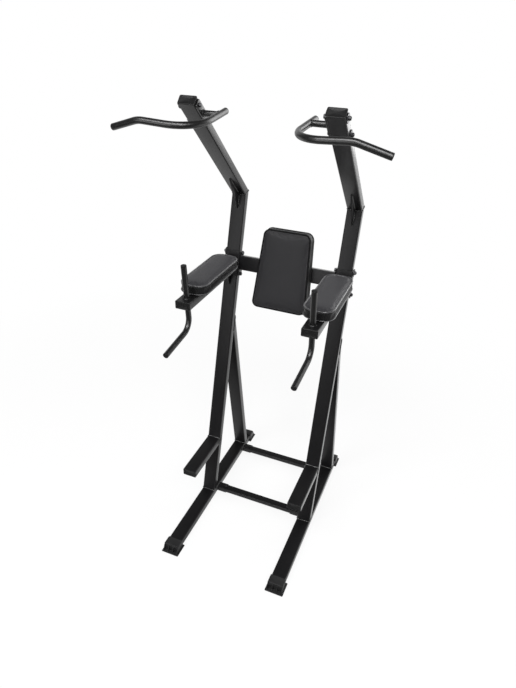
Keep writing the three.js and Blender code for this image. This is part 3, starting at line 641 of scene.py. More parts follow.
def bead(route, radius, closed=True, up=Z_AXIS, pitch=4.0):
    """A weld bead: a small pipe whose radius swells once a pitch and dies away at open ends."""
    route = np.asarray(route, float)
    step = np.linalg.norm(np.diff(route, axis=0), axis=1)
    length = np.concatenate([[0], np.cumsum(step)])
    swell = radius * (1 + 0.16 * np.abs(np.sin(np.pi * length / pitch)) + 0.05 * np.sin(length * 1.7))
    if not closed:
        swell = swell * np.minimum(1, 0.25 + np.minimum(length, length[-1] - length) / 4)
    ring = pipe(route, swell, up, sides=10, closed=closed)
    return surface(ring, close_rows=closed, caps=not closed)


def straight(a, b, spacing=1.0):
    a = np.asarray(a, float)
    b = np.asarray(b, float)
    count = max(int(np.linalg.norm(b - a) / spacing), 6)
    return a + (b - a) * np.linspace(0, 1, count)[:, None]


def circle(centre, radius, u, v):
    angle = full_turn(72)[:, None]
    return np.asarray(centre, float) + radius * (np.cos(angle) * np.array(u) + np.sin(angle) * np.array(v))


def mirrored(shell):
    """The same shell on the other side of X = 0, its faces turned back outwards."""
    points, faces = shell
    return points * np.array([-1.0, 1.0, 1.0]), faces[:, ::-1]


def both_sides(name, shell, finish, node=None):
    """A piece on the right and its mirror image on the left, each standing for the node of its side."""
    for side, made in (("right", shell), ("left", mirrored(shell))):
        replaces = [f"{node}_{side}"] if node else []
        make_piece(f"{name}_{side}", made, finish, replaces)


# Settings that a user would change

def length_of(name, description, default):
    return bpy.props.FloatProperty(
        name=name, description=description, default=default, unit="LENGTH", precision=4)


def colour_of(name, description, default):
    return bpy.props.FloatVectorProperty(
        name=name, description=description, default=default, subtype="COLOR", min=0.0, max=1.0)


def level_of(name, description, default):
    return bpy.props.FloatProperty(name=name, description=description, default=default, min=0.0, max=10.0)


class StationFinishes(bpy.types.PropertyGroup):
    """Colours and gloss of the metal, rubber and plastic."""

    frame_colour: colour_of("Frame", "Powder coat of the flat tubes", (0.0065, 0.0063, 0.0068))
    frame_roughness: level_of("Frame roughness", "Roughness of the powder coat", 0.36)
    bar_colour: colour_of("Bars", "Powder coat of the round bars", (0.0035, 0.0035, 0.0036))
    bar_roughness: level_of("Bar roughness", "Roughness of the round bars' coat", 0.36)
    rubber_colour: colour_of("Rubber", "Rubber of the feet", (0.0065, 0.0065, 0.007))
    plastic_colour: colour_of("Plastic", "Plastic of the caps and plugs", (0.0065, 0.0065, 0.0068))
    wood_colour: colour_of("Plywood", "Veneer of the pads' boards", (0.38, 0.25, 0.13))
    bolt_colour: colour_of("Bolts", "Black zinc of the fixings", (0.035, 0.035, 0.037))
    staple_colour: colour_of("Staples", "Bare steel under the pads", (0.62, 0.62, 0.6))


class StationUpholstery(bpy.types.PropertyGroup):
    """Sizes and colours of the pads."""

    face_colour: colour_of("Face", "Vinyl on the pads' faces", (0.039, 0.0383, 0.0422))
    band_colour: colour_of("Band", "Vinyl round the pads' sides", (0.005, 0.005, 0.0053))
    thread_colour: colour_of("Thread", "Thread of the seams", (0.06, 0.06, 0.063))
    vinyl_roughness: level_of("Vinyl roughness", "Roughness of the vinyl", 0.46)
    welt: length_of("Welt", "Diameter of the rolled welt round each face", 0.0068)
    seam_inset: length_of("Seam inset", "From an arm pad's side to the middle of its welt", 0.0042)
    back_seam_inset: length_of("Back seam inset", "From the back pad's side to the middle of its welt", 0.009)
    stitch: length_of("Stitch", "Length of one stitch", 0.0042)
    stitch_pitch: length_of("Stitch pitch", "From one stitch to the next", 0.0056)
    voxel: length_of("Cloth mesh", "Spacing of the points that puff up", 0.005)
    puff: length_of("Puff", "The furthest that a point of the vinyl moves", 0.004)
    pressure: level_of("Pressure", "Air pressure in the cushion while it fills", 4.0)


class StationFixings(bpy.types.PropertyGroup):
    """Sizes of the weld beads and small fixings."""

    bead: length_of("Weld bead", "Radius of the beads between the tubes", 0.0027)
    staple: length_of("Staple", "Width of a staple's crown", 0.012)
    staple_pitch: length_of("Staple pitch", "From one staple to the next", 0.03)


class StationStudio(bpy.types.PropertyGroup):
    """Levels of the studio light."""

    floor_colour: colour_of("Floor", "Colour of the floor", (0.9, 0.9, 0.9))
    floor_lift: level_of("Floor lift", "Share of pure white where the floor is seen", 0.85)
    world_level: level_of("Surround", "Strength of the white surround", 0.5)
    room_shade: level_of("Room shade", "Share of the surround that the dark room takes away", 0.92)
    key_level: level_of("Key", "Light that the front lamp adds to a surface facing it", 0.22)
    right_level: level_of("Right", "Light that the right-hand lamp adds to a surface facing it", 0.16)
    top_level: level_of("Overhead", "Light that the overhead strip adds to a surface facing it", 1.15)
    rear_level: level_of("Rear", "Light that the rear lamp adds to a surface facing it", 0.35)


# Frame

def sections(stations, outline):
    """An outline set on stations (origin, width direction, depth direction), one row of points for each."""
    frames = np.array(stations, float)[:, None]
    return frames[:, :, 0] + outline[:, :1] * frames[:, :, 1] + outline[:, 1:] * frames[:, :, 2]


def tube(stations, width=TUBE_WIDTH, depth=TUBE_DEPTH, corner=TUBE_CORNER, wall=TUBE_WALL):
    """A flat tube through stations: out along the outside, back by the bore."""
    outside = sections(stations, section_of(width, depth, corner))
    bore = sections(stations, section_of(width - 2 * wall, depth - 2 * wall, max(corner - wall, 0.4)))
    return surface(np.concatenate([outside, bore[::-1]]), close_rows=True)


def side_station(y, z, v):
    """A station of a tube that runs in a plane square to X."""
    return [(FRAME_X, y, z), (1, 0, 0), (0, *v)]


def lean_station(depth, run, v):
    """A side station given in the leaning face's own directions."""
    origin = on_the_lean([FRAME_X, depth, run])
    return [origin, (1, 0, 0), on_the_lean([FRAME_X, depth + v[0], run + v[1]]) - origin]


def root_station(top, seat):
    """The end of a level tube with this top, cut to the leaning face and a seat in front of it."""
    middle = top - HALF_DEPTH
    return side_station(leaning_y(middle, -seat), middle, (math.tan(LEAN), 1))


def cut_stations():
    """The feet of the upright and the strut, the strut's head and the mitre of the kink."""
    tan = math.tan(LEAN)
    strut_tan = math.tan(STRUT_LEAN)
    mitre = math.tan(KINK / 2)
    z = RAIL_TOP + GAP
    y = STRUT_Y + HALF_DEPTH / math.cos(STRUT_LEAN)
    rise = (y - leaning_y(z, TUBE_DEPTH + GAP)) / (tan + strut_tan)
    across = math.sin(LEAN + STRUT_LEAN)
    return (
        lean_station(HALF_DEPTH, GAP + HALF_DEPTH * tan, (1, tan)),
        side_station(y, z, (1 / math.cos(STRUT_LEAN), 0)),
        side_station(y - rise * strut_tan, z + rise, (math.sin(LEAN) / across, math.cos(LEAN) / across)),
        lean_station(HALF_DEPTH, KINK_RUN + HALF_DEPTH * mitre, (1, mitre)),
    )


def frame_tubes():
    """Every flat tube of one side, by the node that it stands for."""
    upright_foot, strut_foot, strut_head, kink = cut_stations()
    sin_k = math.sin(KINK)
    cos_k = math.cos(KINK)
    post_top = lean_station(HALF_DEPTH * cos_k - POST_RUN * sin_k,
                            KINK_RUN + HALF_DEPTH * sin_k + POST_RUN * cos_k, (cos_k, sin_k))
    rail_ends = [side_station(y, RAIL_TOP - HALF_DEPTH, (0, 1)) for y in (RAIL_END, -RAIL_END)]
    step_front, arm_front = (side_station(front, top - HALF_DEPTH, (0, 1))
                             for front, top in ((STEP_FRONT, STEP_TOP), (ARM_FRONT, ARM_TOP)))
    return {
        "rail": tube(rail_ends),
        "upright": tube([upright_foot, lean_station(HALF_DEPTH, JOINT_RUN - GAP / 2, (1, 0))]),
        "strut": tube([strut_foot, strut_head]),
        "step": tube([root_station(STEP_TOP, GAP), step_front]),
        "arm": tube([root_station(ARM_TOP, GAP + BRACKET_PLATE / 2), arm_front]),
        "upper_post": tube([lean_station(HALF_DEPTH, JOINT_RUN + GAP / 2, (1, 0)), kink, post_top]),
    }


def plate(corners, radius, thickness=GUSSET_PLATE, x=FRAME_X, edge=0.6):
    """A flat plate square to X: corners in Y and Z, rounded by quadratic curves, and eased edges."""
    corners = np.asarray(corners, float)
    t = np.linspace(0, 1, 7)[None, :, None]
    before, after = (
        (corners + unit(np.roll(corners, shift, 0) - corners) * radius)[:, None] for shift in (1, -1))
    curve = (1 - t) ** 2 * before + 2 * t * (1 - t) * corners[:, None] + t * t * after
    points, faces = slab(evenly(curve.reshape(-1, 2), 2.0), thickness, edge)
    return points[:, [2, 0, 1]] + np.array([x - thickness / 2, 0, 0]), faces


def cheek(outline, thickness, edge, x, run, place):
    """A plate square to X on a post, its outline given as depth and run."""
    return moved(slab(evenly(outline, 2.0), thickness, edge),
                 lambda points: place(points[:, [2, 0, 1]] + np.array([x, HALF_DEPTH, run])))


def arm_bracket():
    """The channel that wraps the post: a plate's section carried round a path with two bends."""
    mid = TUBE_WIDTH / 2 + GAP + BRACKET_PLATE / 2
    front = -GAP - BRACKET_PLATE / 2
    corners = [(-mid, TUBE_DEPTH, 0), (-mid, front, 0), (mid, front, 0), (mid, TUBE_DEPTH, 0)]
    route = bent_route(corners, [4.0, 4.0], 1.0)
    way = directions(route)
    normal = np.stack([-way[:, 1], way[:, 0], way[:, 2]], -1)
    stations = np.stack([route, normal, np.broadcast_to(Z_AXIS, route.shape)], 1)
    rings = sections(stations, section_of(BRACKET_PLATE, BRACKET_HEIGHT, 0.7, 4))
    return surface(on_the_lean(rings + np.array([FRAME_X, 0.0, JOINT_RUN])), caps=True)


def gussets():
    """The plates in the post's kink and under the arm."""
    sin_k = math.sin(KINK)
    cos_k = math.cos(KINK)
    low, high = KINK_GUSSET
    kink = on_the_lean([
        (0, 2, KINK_RUN - low), (0, 2, KINK_RUN + 2),
        (0, 2 * cos_k - high * sin_k, KINK_RUN + 2 * sin_k + high * cos_k),
        (0, -high * sin_k - 2, KINK_RUN + high * cos_k - 3), (0, -3, KINK_RUN - low)])
    reach, drop = ARM_GUSSET
    bottom = ARM_TOP - TUBE_DEPTH
    toe = bottom - drop
    arm = [(leaning_y(bottom + 2) - reach, bottom + 2), (leaning_y(bottom) - reach, bottom - 4),
           (leaning_y(toe, -BRACKET_FRONT) - 3, toe), (leaning_y(toe, -GAP), toe),
           (leaning_y(bottom + 2, -GAP), bottom + 2)]
    return plate(kink[:, 1:], 3.0), plate(arm, 3.0)


def cross_tube(y, start, end, *section):
    """A flat tube along X at the sockets' height."""
    return tube([[(x, y, SOCKET_Z), (0, 1, 0), (0, 0, 1)] for x in (start, end)], *section)


def beam_shells():
    """The middle beam and its end plates, whose bolts it shares with the arm brackets."""
    reach = BEAM_END + BRACKET_PLATE / 2
    stations = [[on_the_lean([x, HALF_DEPTH, BEAM_RUN]), ACROSS_LEAN, ALONG_LEAN] for x in (-reach, reach)]
    outline = section_of(TUBE_DEPTH, BRACKET_HEIGHT, 5.0)
    plates = [cheek(outline, BRACKET_PLATE, 0.6, x, JOINT_RUN, on_the_lean)
              for x in (BEAM_END, -BEAM_END - BRACKET_PLATE)]
    return [tube(stations, TUBE_DEPTH, TUBE_WIDTH), *plates]


def weld_beads(radius):
    """Beads of one side round the feet of the posts, the steps, the brackets, gussets and sockets."""
    upright_foot, strut_foot, strut_head, kink = cut_stations()
    tube_section = (TUBE_WIDTH, TUBE_DEPTH, TUBE_CORNER)
    rounds = [
        (upright_foot, tube_section, 1.0, Z_AXIS),
        (strut_foot, tube_section, 1.0, Z_AXIS),
        (strut_head, tube_section, 1.0, ACROSS_LEAN),
        (root_station(STEP_TOP, GAP), tube_section, 1.0, ACROSS_LEAN),
        (root_station(ARM_TOP, BRACKET_FRONT), tube_section, 1.0, ACROSS_LEAN),
        (kink, tube_section, 0.9, np.cross(X_AXIS, kink[2])),
    ]
    for y in CROSS_BAR_Y.values():
        rounds.append(([(INNER_X, y, SOCKET_Z), (0, 1, 0), (0, 0, 1)], SOCKET_SECTION[:3], 0.8, X_AXIS))
    beads = []
    for station, (width, depth, corner), swell, up in rounds:
        outline = evenly(section_of(width + GAP, depth + GAP, corner), 1.0)
        beads.append(bead(sections([station], outline)[0], radius * swell, up=up))
    bottom = ARM_TOP - TUBE_DEPTH
    reach = ARM_GUSSET[0] - 2
    low, high = KINK_GUSSET
    for x in (FRAME_X - GUSSET_PLATE / 2, FRAME_X + GUSSET_PLATE / 2):
        for start, end, up in (
                ((x, leaning_y(bottom) - reach, bottom),
                 (x, leaning_y(bottom, -BRACKET_FRONT) - 2, bottom), Z_AXIS),
                ((x, leaning_y(bottom - 2, -BRACKET_FRONT), bottom - 2),
                 (x, leaning_y(bottom - 36, -BRACKET_FRONT), bottom - 36), ACROSS_LEAN),
                (on_the_lean([x, 0, KINK_RUN - low + 4]), on_the_lean([x, 0, KINK_RUN - 2]), ACROSS_LEAN),
                (above_the_kink([x, 0, 4]), above_the_kink([x, 0, high - 4]), X_AXIS)):
            beads.append(bead(straight(start, end), radius, closed=False, up=up))
    for z, swell in ((ARM_TOP, 1.25), (bottom, 1.0)):
        y = GRIP_Y + GRIP_SLOPE * (ARM_TOP - z)
        ring = circle((FRAME_X, y, z), BAR_RADIUS + 0.6, (1, 0, 0), (0, 1, 0))
        beads.append(bead(ring, radius * swell))
    return beads


class STATION_OT_frame(bpy.types.Operator):
    """Make the welded and bolted frame of flat tube"""

    bl_idname = "station.frame"
    bl_label = "Frame"

    def execute(self, context):
        finishes = context.scene.station_finishes
        coat = powder_coat("frame_powder_coat", finishes.frame_colour, finishes.frame_roughness, 0.25, 1.0)
        shells = frame_tubes()
        kink, arm = gussets()
        sockets = [cross_tube(y, INNER_X - 57.0, INNER_X + 1.2, *SOCKET_SECTION)
                   for y in CROSS_BAR_Y.values()]
        shells["rail"] = together(shells["rail"], *sockets)
        shells["upper_post"] = together(shells["upper_post"], kink)
        shells["arm"] = together(shells["arm"], arm_bracket(), arm)
        for name, shell in shells.items():
            both_sides(f"flat_{name}", shell, coat, name)
        for end, y in CROSS_BAR_Y.items():
            bar = cross_tube(y, 2.0 - INNER_X, INNER_X - 2.0, *CROSS_BAR_SECTION)
            make_piece(f"flat_bar_{end}", bar, coat, [f"cross_bar_{end}"])
        make_piece("flat_middle_beam", together(*beam_shells()), coat, ["middle_beam"])
        glossy = powder_coat("weld_powder_coat", finishes.bar_colour, finishes.bar_roughness, 1.0, 1.0, 0.05)
        beads = weld_beads(context.scene.station_fixings.bead / MM)
        both_sides("weld_beads", together(*beads), glossy)
        for side in ("left", "right"):
            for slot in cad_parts[f"joint_spigot_{side}"].material_slots:
                slot.material = coat
        return {"FINISHED"}


# Round bars

def grip_route():
    """The upright grip through the arm, its bend and the dip handle."""
    top = (FRAME_X, GRIP_Y - GRIP_SLOPE * GRIP_RISE, ARM_TOP + GRIP_RISE)
    elbow = (FRAME_X, GRIP_Y + GRIP_SLOPE * GRIP_DROP, ARM_TOP - GRIP_DROP)
    end = (FRAME_X, elbow[1] - DIP_REACH, elbow[2] - DIP_SLOPE * DIP_REACH)
    return bent_route([top, elbow, end], [DIP_BEND])


def handle_route():
    """The pull-up handle: fore and aft beside the post, across above it, then out and down."""
    return bent_route(at_the_handle(HANDLE_CORNERS), HANDLE_BENDS)


def handle_bracket():
    """The stub from the handle to its plate, the plate, and their beads.

    The stub of radius r meets the bar of radius R where x = sqrt(R2 - (r sin a)2).
    """
    rear, front = HANDLE_CORNERS[:2]
    stub_x = rear[0] + (front[0] - rear[0]) * rear[1] / (rear[1] - front[1])
    axis = straight(at_the_handle([stub_x, 0, 0]), at_the_handle([HANDLE_PLATE_X + 2.0, 0, 0]), 6.0)
    stub = surface(pipe(axis, STUB_RADIUS, Z_AXIS, 28), caps=True)
    outline = section_of(*HANDLE_PLATE_SECTION)
    stood = cheek(outline, HANDLE_PLATE, 0.8, HANDLE_PLATE_X, HANDLE_RUN, above_the_kink)
    ring = circle(at_the_handle([HANDLE_PLATE_X, 0, 0]), STUB_RADIUS + 0.5, (0, 1, 0), (0, 0, 1))
    angle = full_turn(80)
    radius = STUB_RADIUS + 0.4
    reach = np.sqrt(np.maximum((BAR_RADIUS + 0.3) ** 2 - (radius * np.sin(angle)) ** 2, 1.0))
    saddle = at_the_handle(np.stack([stub_x + reach, radius * np.cos(angle), radius * np.sin(angle)], -1))
    return [stub, stood, bead(ring, 2.2, up=X_AXIS), bead(saddle, 2.2, up=X_AXIS)]


class STATION_OT_bars(bpy.types.Operator):
    """Make the bent round bars: grips with dip handles, and pull-up handles"""

    bl_idname = "station.bars"
    bl_label = "Round bars"

    def execute(self, context):
        finishes = context.scene.station_finishes
        coat = powder_coat("bar_powder_coat", finishes.bar_colour, finishes.bar_roughness, 0.8, 0.0, 0.05)
        seat = circle((FRAME_X, GRIP_Y, ARM_TOP + 0.6), BAR_RADIUS + 1.0, (1, 0, 0), (0, 1, 0))
        grip = together(hollow_bar(grip_route(), X_AXIS), bead(seat, 3.2, pitch=6.0))
        both_sides("grip_and_dip_bar", grip, coat, "grip_bar")
        handle = together(hollow_bar(handle_route(), Z_AXIS), *handle_bracket())
        both_sides("pull_up_bar", handle, coat, "pull_up_handle")
        return {"FINISHED"}


# Caps, plugs and feet

def plug(end, way):
    """A round plug turned round the bar's axis: a skirt inside the bar, a flange on its end, a low dome."""
    r = BAR_RADIUS
    skirt = [(8.6, -14.0), (10.2, -14.0), (10.6, -13.0), (10.6, -0.2)]
    flange = [(r - 0.9, 0.0), (r - 0.25, 0.3), (r, 0.9)]
    edge = [(r - 1.6 * (1 - math.cos(a)), 2.9 + 1.6 * math.sin(a)) for a in np.linspace(0, np.pi / 2, 6)]
    crown = [(8.0, 4.75), (4.0, 4.85), (0.5, 4.9)]
    base = np.asarray(end) + np.asarray(way) * GAP
    return surface(revolved(skirt + flange + edge + crown, base, way, 36), caps=True)


def tube_cap(lip, place):
    """A cap: a plate with a raised rim over the tube's end, and the spigot inside it."""
    outline = section_of(TUBE_WIDTH + 2 * lip, TUBE_DEPTH + 2 * lip, TUBE_CORNER + lip)
    rim = [(0.5, 0.0), (0.0, 0.4), (0.0, 0.7), (0.4, 1.7), (1.1, 2.5), (2.2, 3.0), (4.2, 3.0), (5.0, 2.5),
           (5.6, 2.2)]
    cover = layered(evenly(outline, 1.5), rim)
    spigot = slab(evenly(section_of(*CAP_SPIGOT_SECTION), 2.5), CAP_SPIGOT_DEPTH, 0.5)
    return together(moved(cover, lambda points: place(points + (0, 0, GAP))),
                    moved(spigot, lambda points: place(points - (0, 0, 14.8))))


def on_the_post(points):
    return above_the_kink(points + np.array([FRAME_X, HALF_DEPTH, POST_RUN]))


def facing_front(y, top):
    def placed(points):
        return np.column_stack([points[:, 0] + FRAME_X, y - points[:, 2], points[:, 1] + (top - HALF_DEPTH)])
    return placed


class STATION_OT_caps(bpy.types.Operator):
    """Make the plastic caps of the flat tubes and the plugs of the round bars"""

    bl_idname = "station.caps"
    bl_label = "Caps and plugs"

    def execute(self, context):
        plastic = moulded_plastic("cap_plastic", context.scene.station_finishes.plastic_colour)
        for name, lip, place in (
                ("post", 1.0, on_the_post),
                ("arm", 0.0, facing_front(ARM_FRONT, ARM_TOP)),
                ("step", 0.0, facing_front(STEP_FRONT, STEP_TOP))):
            both_sides(f"end_cap_{name}", tube_cap(lip, place), plastic, f"{name}_cap")
        for route, near, far in ((grip_route(), "grip_plug", "dip_plug"),
                                 (handle_route(), "handle_plug_rear", "handle_plug_end")):
            way = directions(route)
            both_sides(f"domed_{near}", plug(route[0], -way[0]), plastic, near)
            both_sides(f"domed_{far}", plug(route[-1], way[-1]), plastic, far)
        return {"FINISHED"}


def rubber_foot():
    """A foot under the rail's end: a boot of rounded rectangles carried along Y, a flange and four ribs."""
    rim = [
        (-4.3, 3.6), (-4.3, 2.0), (-3.9, 0.9), (-3.1, 0.2),
        (-2.1, 0.0), (42.0, 0.0), (43.3, 0.4), (44.0, 1.4)]
    width, height, corner = FOOT_SECTION
    levels = [(y, width - 2 * inset, height - 2 * inset, corner - inset, 23.8) for y, inset in rim]
    levels += [(y, *FOOT_POCKET_SECTION, 23.3) for y in (44.0, -0.3)]
    rings = [lifted(section_of(*section), y)[:, [0, 2, 1]] + (0, 0, middle)
             for y, *section, middle in levels]
    flange_points, flange_faces = slab(evenly(section_of(*FOOT_FLANGE_SECTION), 2.0), 5.0, 1.2)
    flange = (flange_points + (0, 14.35, 0), flange_faces)
    rib = [(-2.3, 0.6), (-2.3, 38.6), (-5.6, 38.6), (-24.3, 4.6), (-24.3, 0.6)]
    ribs = [plate(rib, 1.6, 4.0, x, 1.1) for x in FOOT_RIBS_X]
    return together(surface(np.stack(rings), caps=True), flange, *ribs)


class STATION_OT_feet(bpy.types.Operator):
    """Make the ribbed rubber feet on the rails' ends"""

    bl_idname = "station.feet"
    bl_label = "Rubber feet"

    def execute(self, context):
        finish = rubber("foot_rubber", context.scene.station_finishes.rubber_colour)
        points, faces = rubber_foot()
        for end, turn in (("front", 1.0), ("rear", -1.0)):
            placed = points * np.array([turn, turn, 1.0]) + np.array([FRAME_X, -turn * RAIL_END, 0.0])
            both_sides(f"moulded_foot_{end}", (placed, faces), finish, f"foot_{end}")
        return {"FINISHED"}


# Bolts

class STATION_OT_bolts(bpy.types.Operator):
    """Make the through bolts with their washers and lock nuts"""

    bl_idname = "station.bolts"
    bl_label = "Bolts"

    def execute(self, context):
        zinc = black_zinc("bolt_black_zinc", context.scene.station_finishes.bolt_colour)
        for kind, place, start, end, run, spread in (
                ("joint", on_the_lean, BEAM_END - GAP, OUTER_X + GAP + BRACKET_FRONT, JOINT_RUN, JOINT_BOLT),
                ("handle", above_the_kink, HANDLE_PLATE_X - GAP, OUTER_X + GAP, HANDLE_RUN, HANDLE_BOLT)):
            for level, offset in (("upper", spread), ("lower", -spread)):
                shell = through_bolt(place([start, HALF_DEPTH, run + offset]), (1, 0, 0), end - start, 10.0)
                both_sides(f"hex_{kind}_bolt_{level}", shell, zinc, f"{kind}_bolt_{level}")
        half = SOCKET_SECTION[1] / 2 + GAP
        for end, y in CROSS_BAR_Y.items():
            top = (SOCKET_BOLT_X, y, SOCKET_Z + half)
            shell = through_bolt(top, (0, 0, -1), 2 * half, 8.0, 0.26, 2.0, 0.2)
            both_sides(f"hex_socket_bolt_{end}", shell, zinc, f"socket_bolt_{end}")
        return {"FINISHED"}


# Upholstery

PAD_STEPS = [
    (0.12, 0.02), (0.05, 0.04), (0.02, 0.09), (0.0, 0.2), (0.0, 0.35), (0.0, 0.5), (0.0, 0.65), (0.0, 0.8)]
GLUED_HEIGHT = 6.0
FILL_FRAMES = 20
HELD_REACH = 7.0
HELD_SHARE = 0.85
LOWEST = 0.9
SEAM_DEPTH = 1.6
SEAM_REACH = 3.2
FACE_SHARE = 0.7
BELOW_FACE = -20.0
THREAD_RADIUS = 0.42
STITCH_INSET = 6.5
HEM_INSET = 7.0
HEM_WIDTH = 25.0
STAPLE_INSET = 20.0
BOARD_INSET = 9.0
BOARD_THICKNESS = 11.0


class Pad:
    """A boxed cushion on its own Z = 0: its outline, its heights and the way from there into the station."""

    def __init__(self, **sizes):
        vars(self).update(sizes)

    def outline(self, inset, pull=0.0):
        """The pad's edge drawn in by an inset, each side also by pull (1 - share^2)."""
        loop = rounded_outline(self.width, self.far_width, self.length, self.radius, inset)
        share = np.abs(loop) / (np.abs(loop).max(0) + 1e-9)
        draw = pull * (1 - share[:, ::-1] ** 2) * (share > 0.9)
        return loop - np.sign(loop) * draw

    def shell(self, crown):
        """Levels up the side, round the edge and over the crown, which rises as 1 - (1 - t)^2.4."""
        rings = []
        for inset_share, height_share in PAD_STEPS:
            ring = self.outline(inset_share * self.thickness, 1.5 * math.sin(math.pi * height_share))
            rings.append(lifted(ring, 1.0 + self.thickness * height_share))
        for angle in np.linspace(0.2, math.pi / 2, 8):
            ring = self.outline(self.roll * (1 - math.cos(angle)))
            rings.append(lifted(ring, self.thickness - self.roll + self.roll * math.sin(angle)))
        half = min(self.width, self.far_width) / 2
        for t in np.linspace(0.06, 0.93, 12):
            ring = self.outline(self.roll + t * (half - self.roll) * 0.96)
            rings.append(lifted(ring, self.thickness + crown * (1 - (1 - t) ** 2.4)))
        return surface(np.stack(rings), caps=True)


def filled(pad, settings):
    """The cushion puffed up by cloth: remeshed, filled with air, each point's way capped, then smoothed."""
    piece = linked(pad.name, *pad.shell(pad.crown * 0.75))
    applied(piece, "REMESH", mode="VOXEL", voxel_size=settings.voxel)
    rest = points_of(piece.data)
    group = piece.vertex_groups.new(name="glued")
    group.add(np.nonzero(rest[:, 2] < GLUED_HEIGHT)[0].tolist(), 1.0, "REPLACE")
    cloth = piece.modifiers.new("Cloth", "CLOTH")
    cloth.settings.use_pressure = True
    cloth.settings.uniform_pressure_force = settings.pressure
    cloth.settings.vertex_group_mass = "glued"
    cloth.settings.effector_weights.gravity = 0.0
    for number in range(1, FILL_FRAMES + 1):
        bpy.context.scene.frame_set(number)
    piece.data = evaluated(piece)
    piece.modifiers.clear()
    moved_by = points_of(piece.data) - rest
    reach = np.linalg.norm(moved_by, axis=1, keepdims=True)
    edge = distance_inside(rest[:, :2], pad.outline(pad.seam))
    held = np.exp(-(edge / HELD_REACH) ** 2) * (rest[:, 2] > pad.thickness * 0.75)
    cap = np.minimum(1.0, settings.puff / MM / np.maximum(reach, 1e-9))
    kept = rest + moved_by * cap * (1 - HELD_SHARE * held[:, None])
    bpy.context.scene.frame_set(1)
    kept[:, 2] = np.maximum(kept[:, 2], LOWEST)
    give_points(piece.data, kept)
    applied(piece, "SUBSURF", levels=1, render_levels=1)
    return piece


def points_of(mesh):
    """A mesh's points in millimetres, as rows."""
    flat = np.empty(len(mesh.vertices) * 3)
    mesh.vertices.foreach_get("co", flat)
    return flat.reshape(-1, 3) / MM


def give_points(mesh, points):
    mesh.vertices.foreach_set("co", (points * MM).ravel())
    mesh.update()


def evaluated(piece):
    """The piece's mesh with its modifiers worked out, as a new mesh."""
    graph = bpy.context.evaluated_depsgraph_get()
    return bpy.data.meshes.new_from_object(piece.evaluated_get(graph))


def applied(piece, kind, **settings):
    """Adds a modifier, keeps what it makes and takes it off again."""
    modifier = piece.modifiers.new(kind.title(), kind)
    for key, value in settings.items():
        setattr(modifier, key, value)
    piece.data = evaluated(piece)
    piece.modifiers.clear()


def distance_inside(points, outline):
    """How far each point lies inside a closed outline: to its nearest segment, minus outside it."""
    if len(points) > 1000:
        parts = np.array_split(points, len(points) // 500)
        return np.concatenate([distance_inside(part, outline) for part in parts])
    a = outline
    b = np.roll(outline, -1, 0)
    along = b - a
    offset = points[:, None] - a[None]
    share = np.clip((offset * along).sum(-1) / (along ** 2).sum(-1), 0, 1)
    gap = offset - share[..., None] * along
    away = np.sqrt((gap ** 2).sum(-1)).min(1)
    area = a[:, 0] * b[:, 1] - a[:, 1] * b[:, 0]
    turn = np.sign(area.sum())
    side = along[None, :, 0] * offset[..., 1] - along[None, :, 1] * offset[..., 0]
    inside = (side * turn > -1e-9).all(1)
    return np.where(inside, away, -away)


def sewn(piece, pad):
    """Pulls the seam in, marks the face inside it, and returns a way to lay lines on the puffed surface."""
    seam = evenly(pad.outline(pad.seam), 3.0)
    points = points_of(piece.data)
    deep = distance_inside(points[:, :2], seam)
    top = np.clip((points[:, 2] - pad.thickness * FACE_SHARE) / (pad.thickness * 0.15), 0, 1)
    points[:, 2] -= SEAM_DEPTH * np.exp(-(deep / SEAM_REACH) ** 2) * top
    give_points(piece.data, points)
    face = piece.data.attributes.new("face", "FLOAT", "POINT")
    face.data.foreach_set("value", np.where(points[:, 2] > pad.thickness * FACE_SHARE, deep, BELOW_FACE))
    tree = BVHTree.FromPolygons(
        [tuple(point) for point in points], [tuple(polygon.vertices) for polygon in piece.data.polygons])

    def laid(loop):
        """Lays a loop of X and Y on the surface, at the height of the nearest point under the pad's face."""
        smooth = np.array([tree.find_nearest(Vector((x, y, pad.thickness)))[0].z for x, y in loop])
        for _ in range(6):
            smooth = (np.roll(smooth, 1) + smooth * 2 + np.roll(smooth, -1)) / 4
        return np.column_stack([loop, smooth])

    return laid


def stitches(line, length, pitch):
    """Short capsules along a closed line, each sunk at both ends: the same few rings at every stitch."""
    loop = evenly(line, pitch)
    way = directions(loop, closed=True)
    side = unit(np.cross(way, Z_AXIS))
    lift = np.cross(side, way)
    stations = np.array([-0.5, -0.4, 0.0, 0.4, 0.5])
    swell = np.array([0.25, 0.8, 1.0, 0.8, 0.25])
    sink = np.array([-0.7, 0.0, 0.35, 0.0, -0.7]) * THREAD_RADIUS
    angle = full_turn(6)
    ring_side = swell[:, None] * np.cos(angle) * THREAD_RADIUS
    ring_lift = swell[:, None] * np.sin(angle) * THREAD_RADIUS + sink[:, None]
    centres = loop[:, None] + stations[None, :, None] * length * way[:, None]
    rings = (centres[:, :, None] + ring_side[None, :, :, None] * side[:, None, None]
             + ring_lift[None, :, :, None] * lift[:, None, None])
    return together(*[surface(grid, caps=True) for grid in rings])


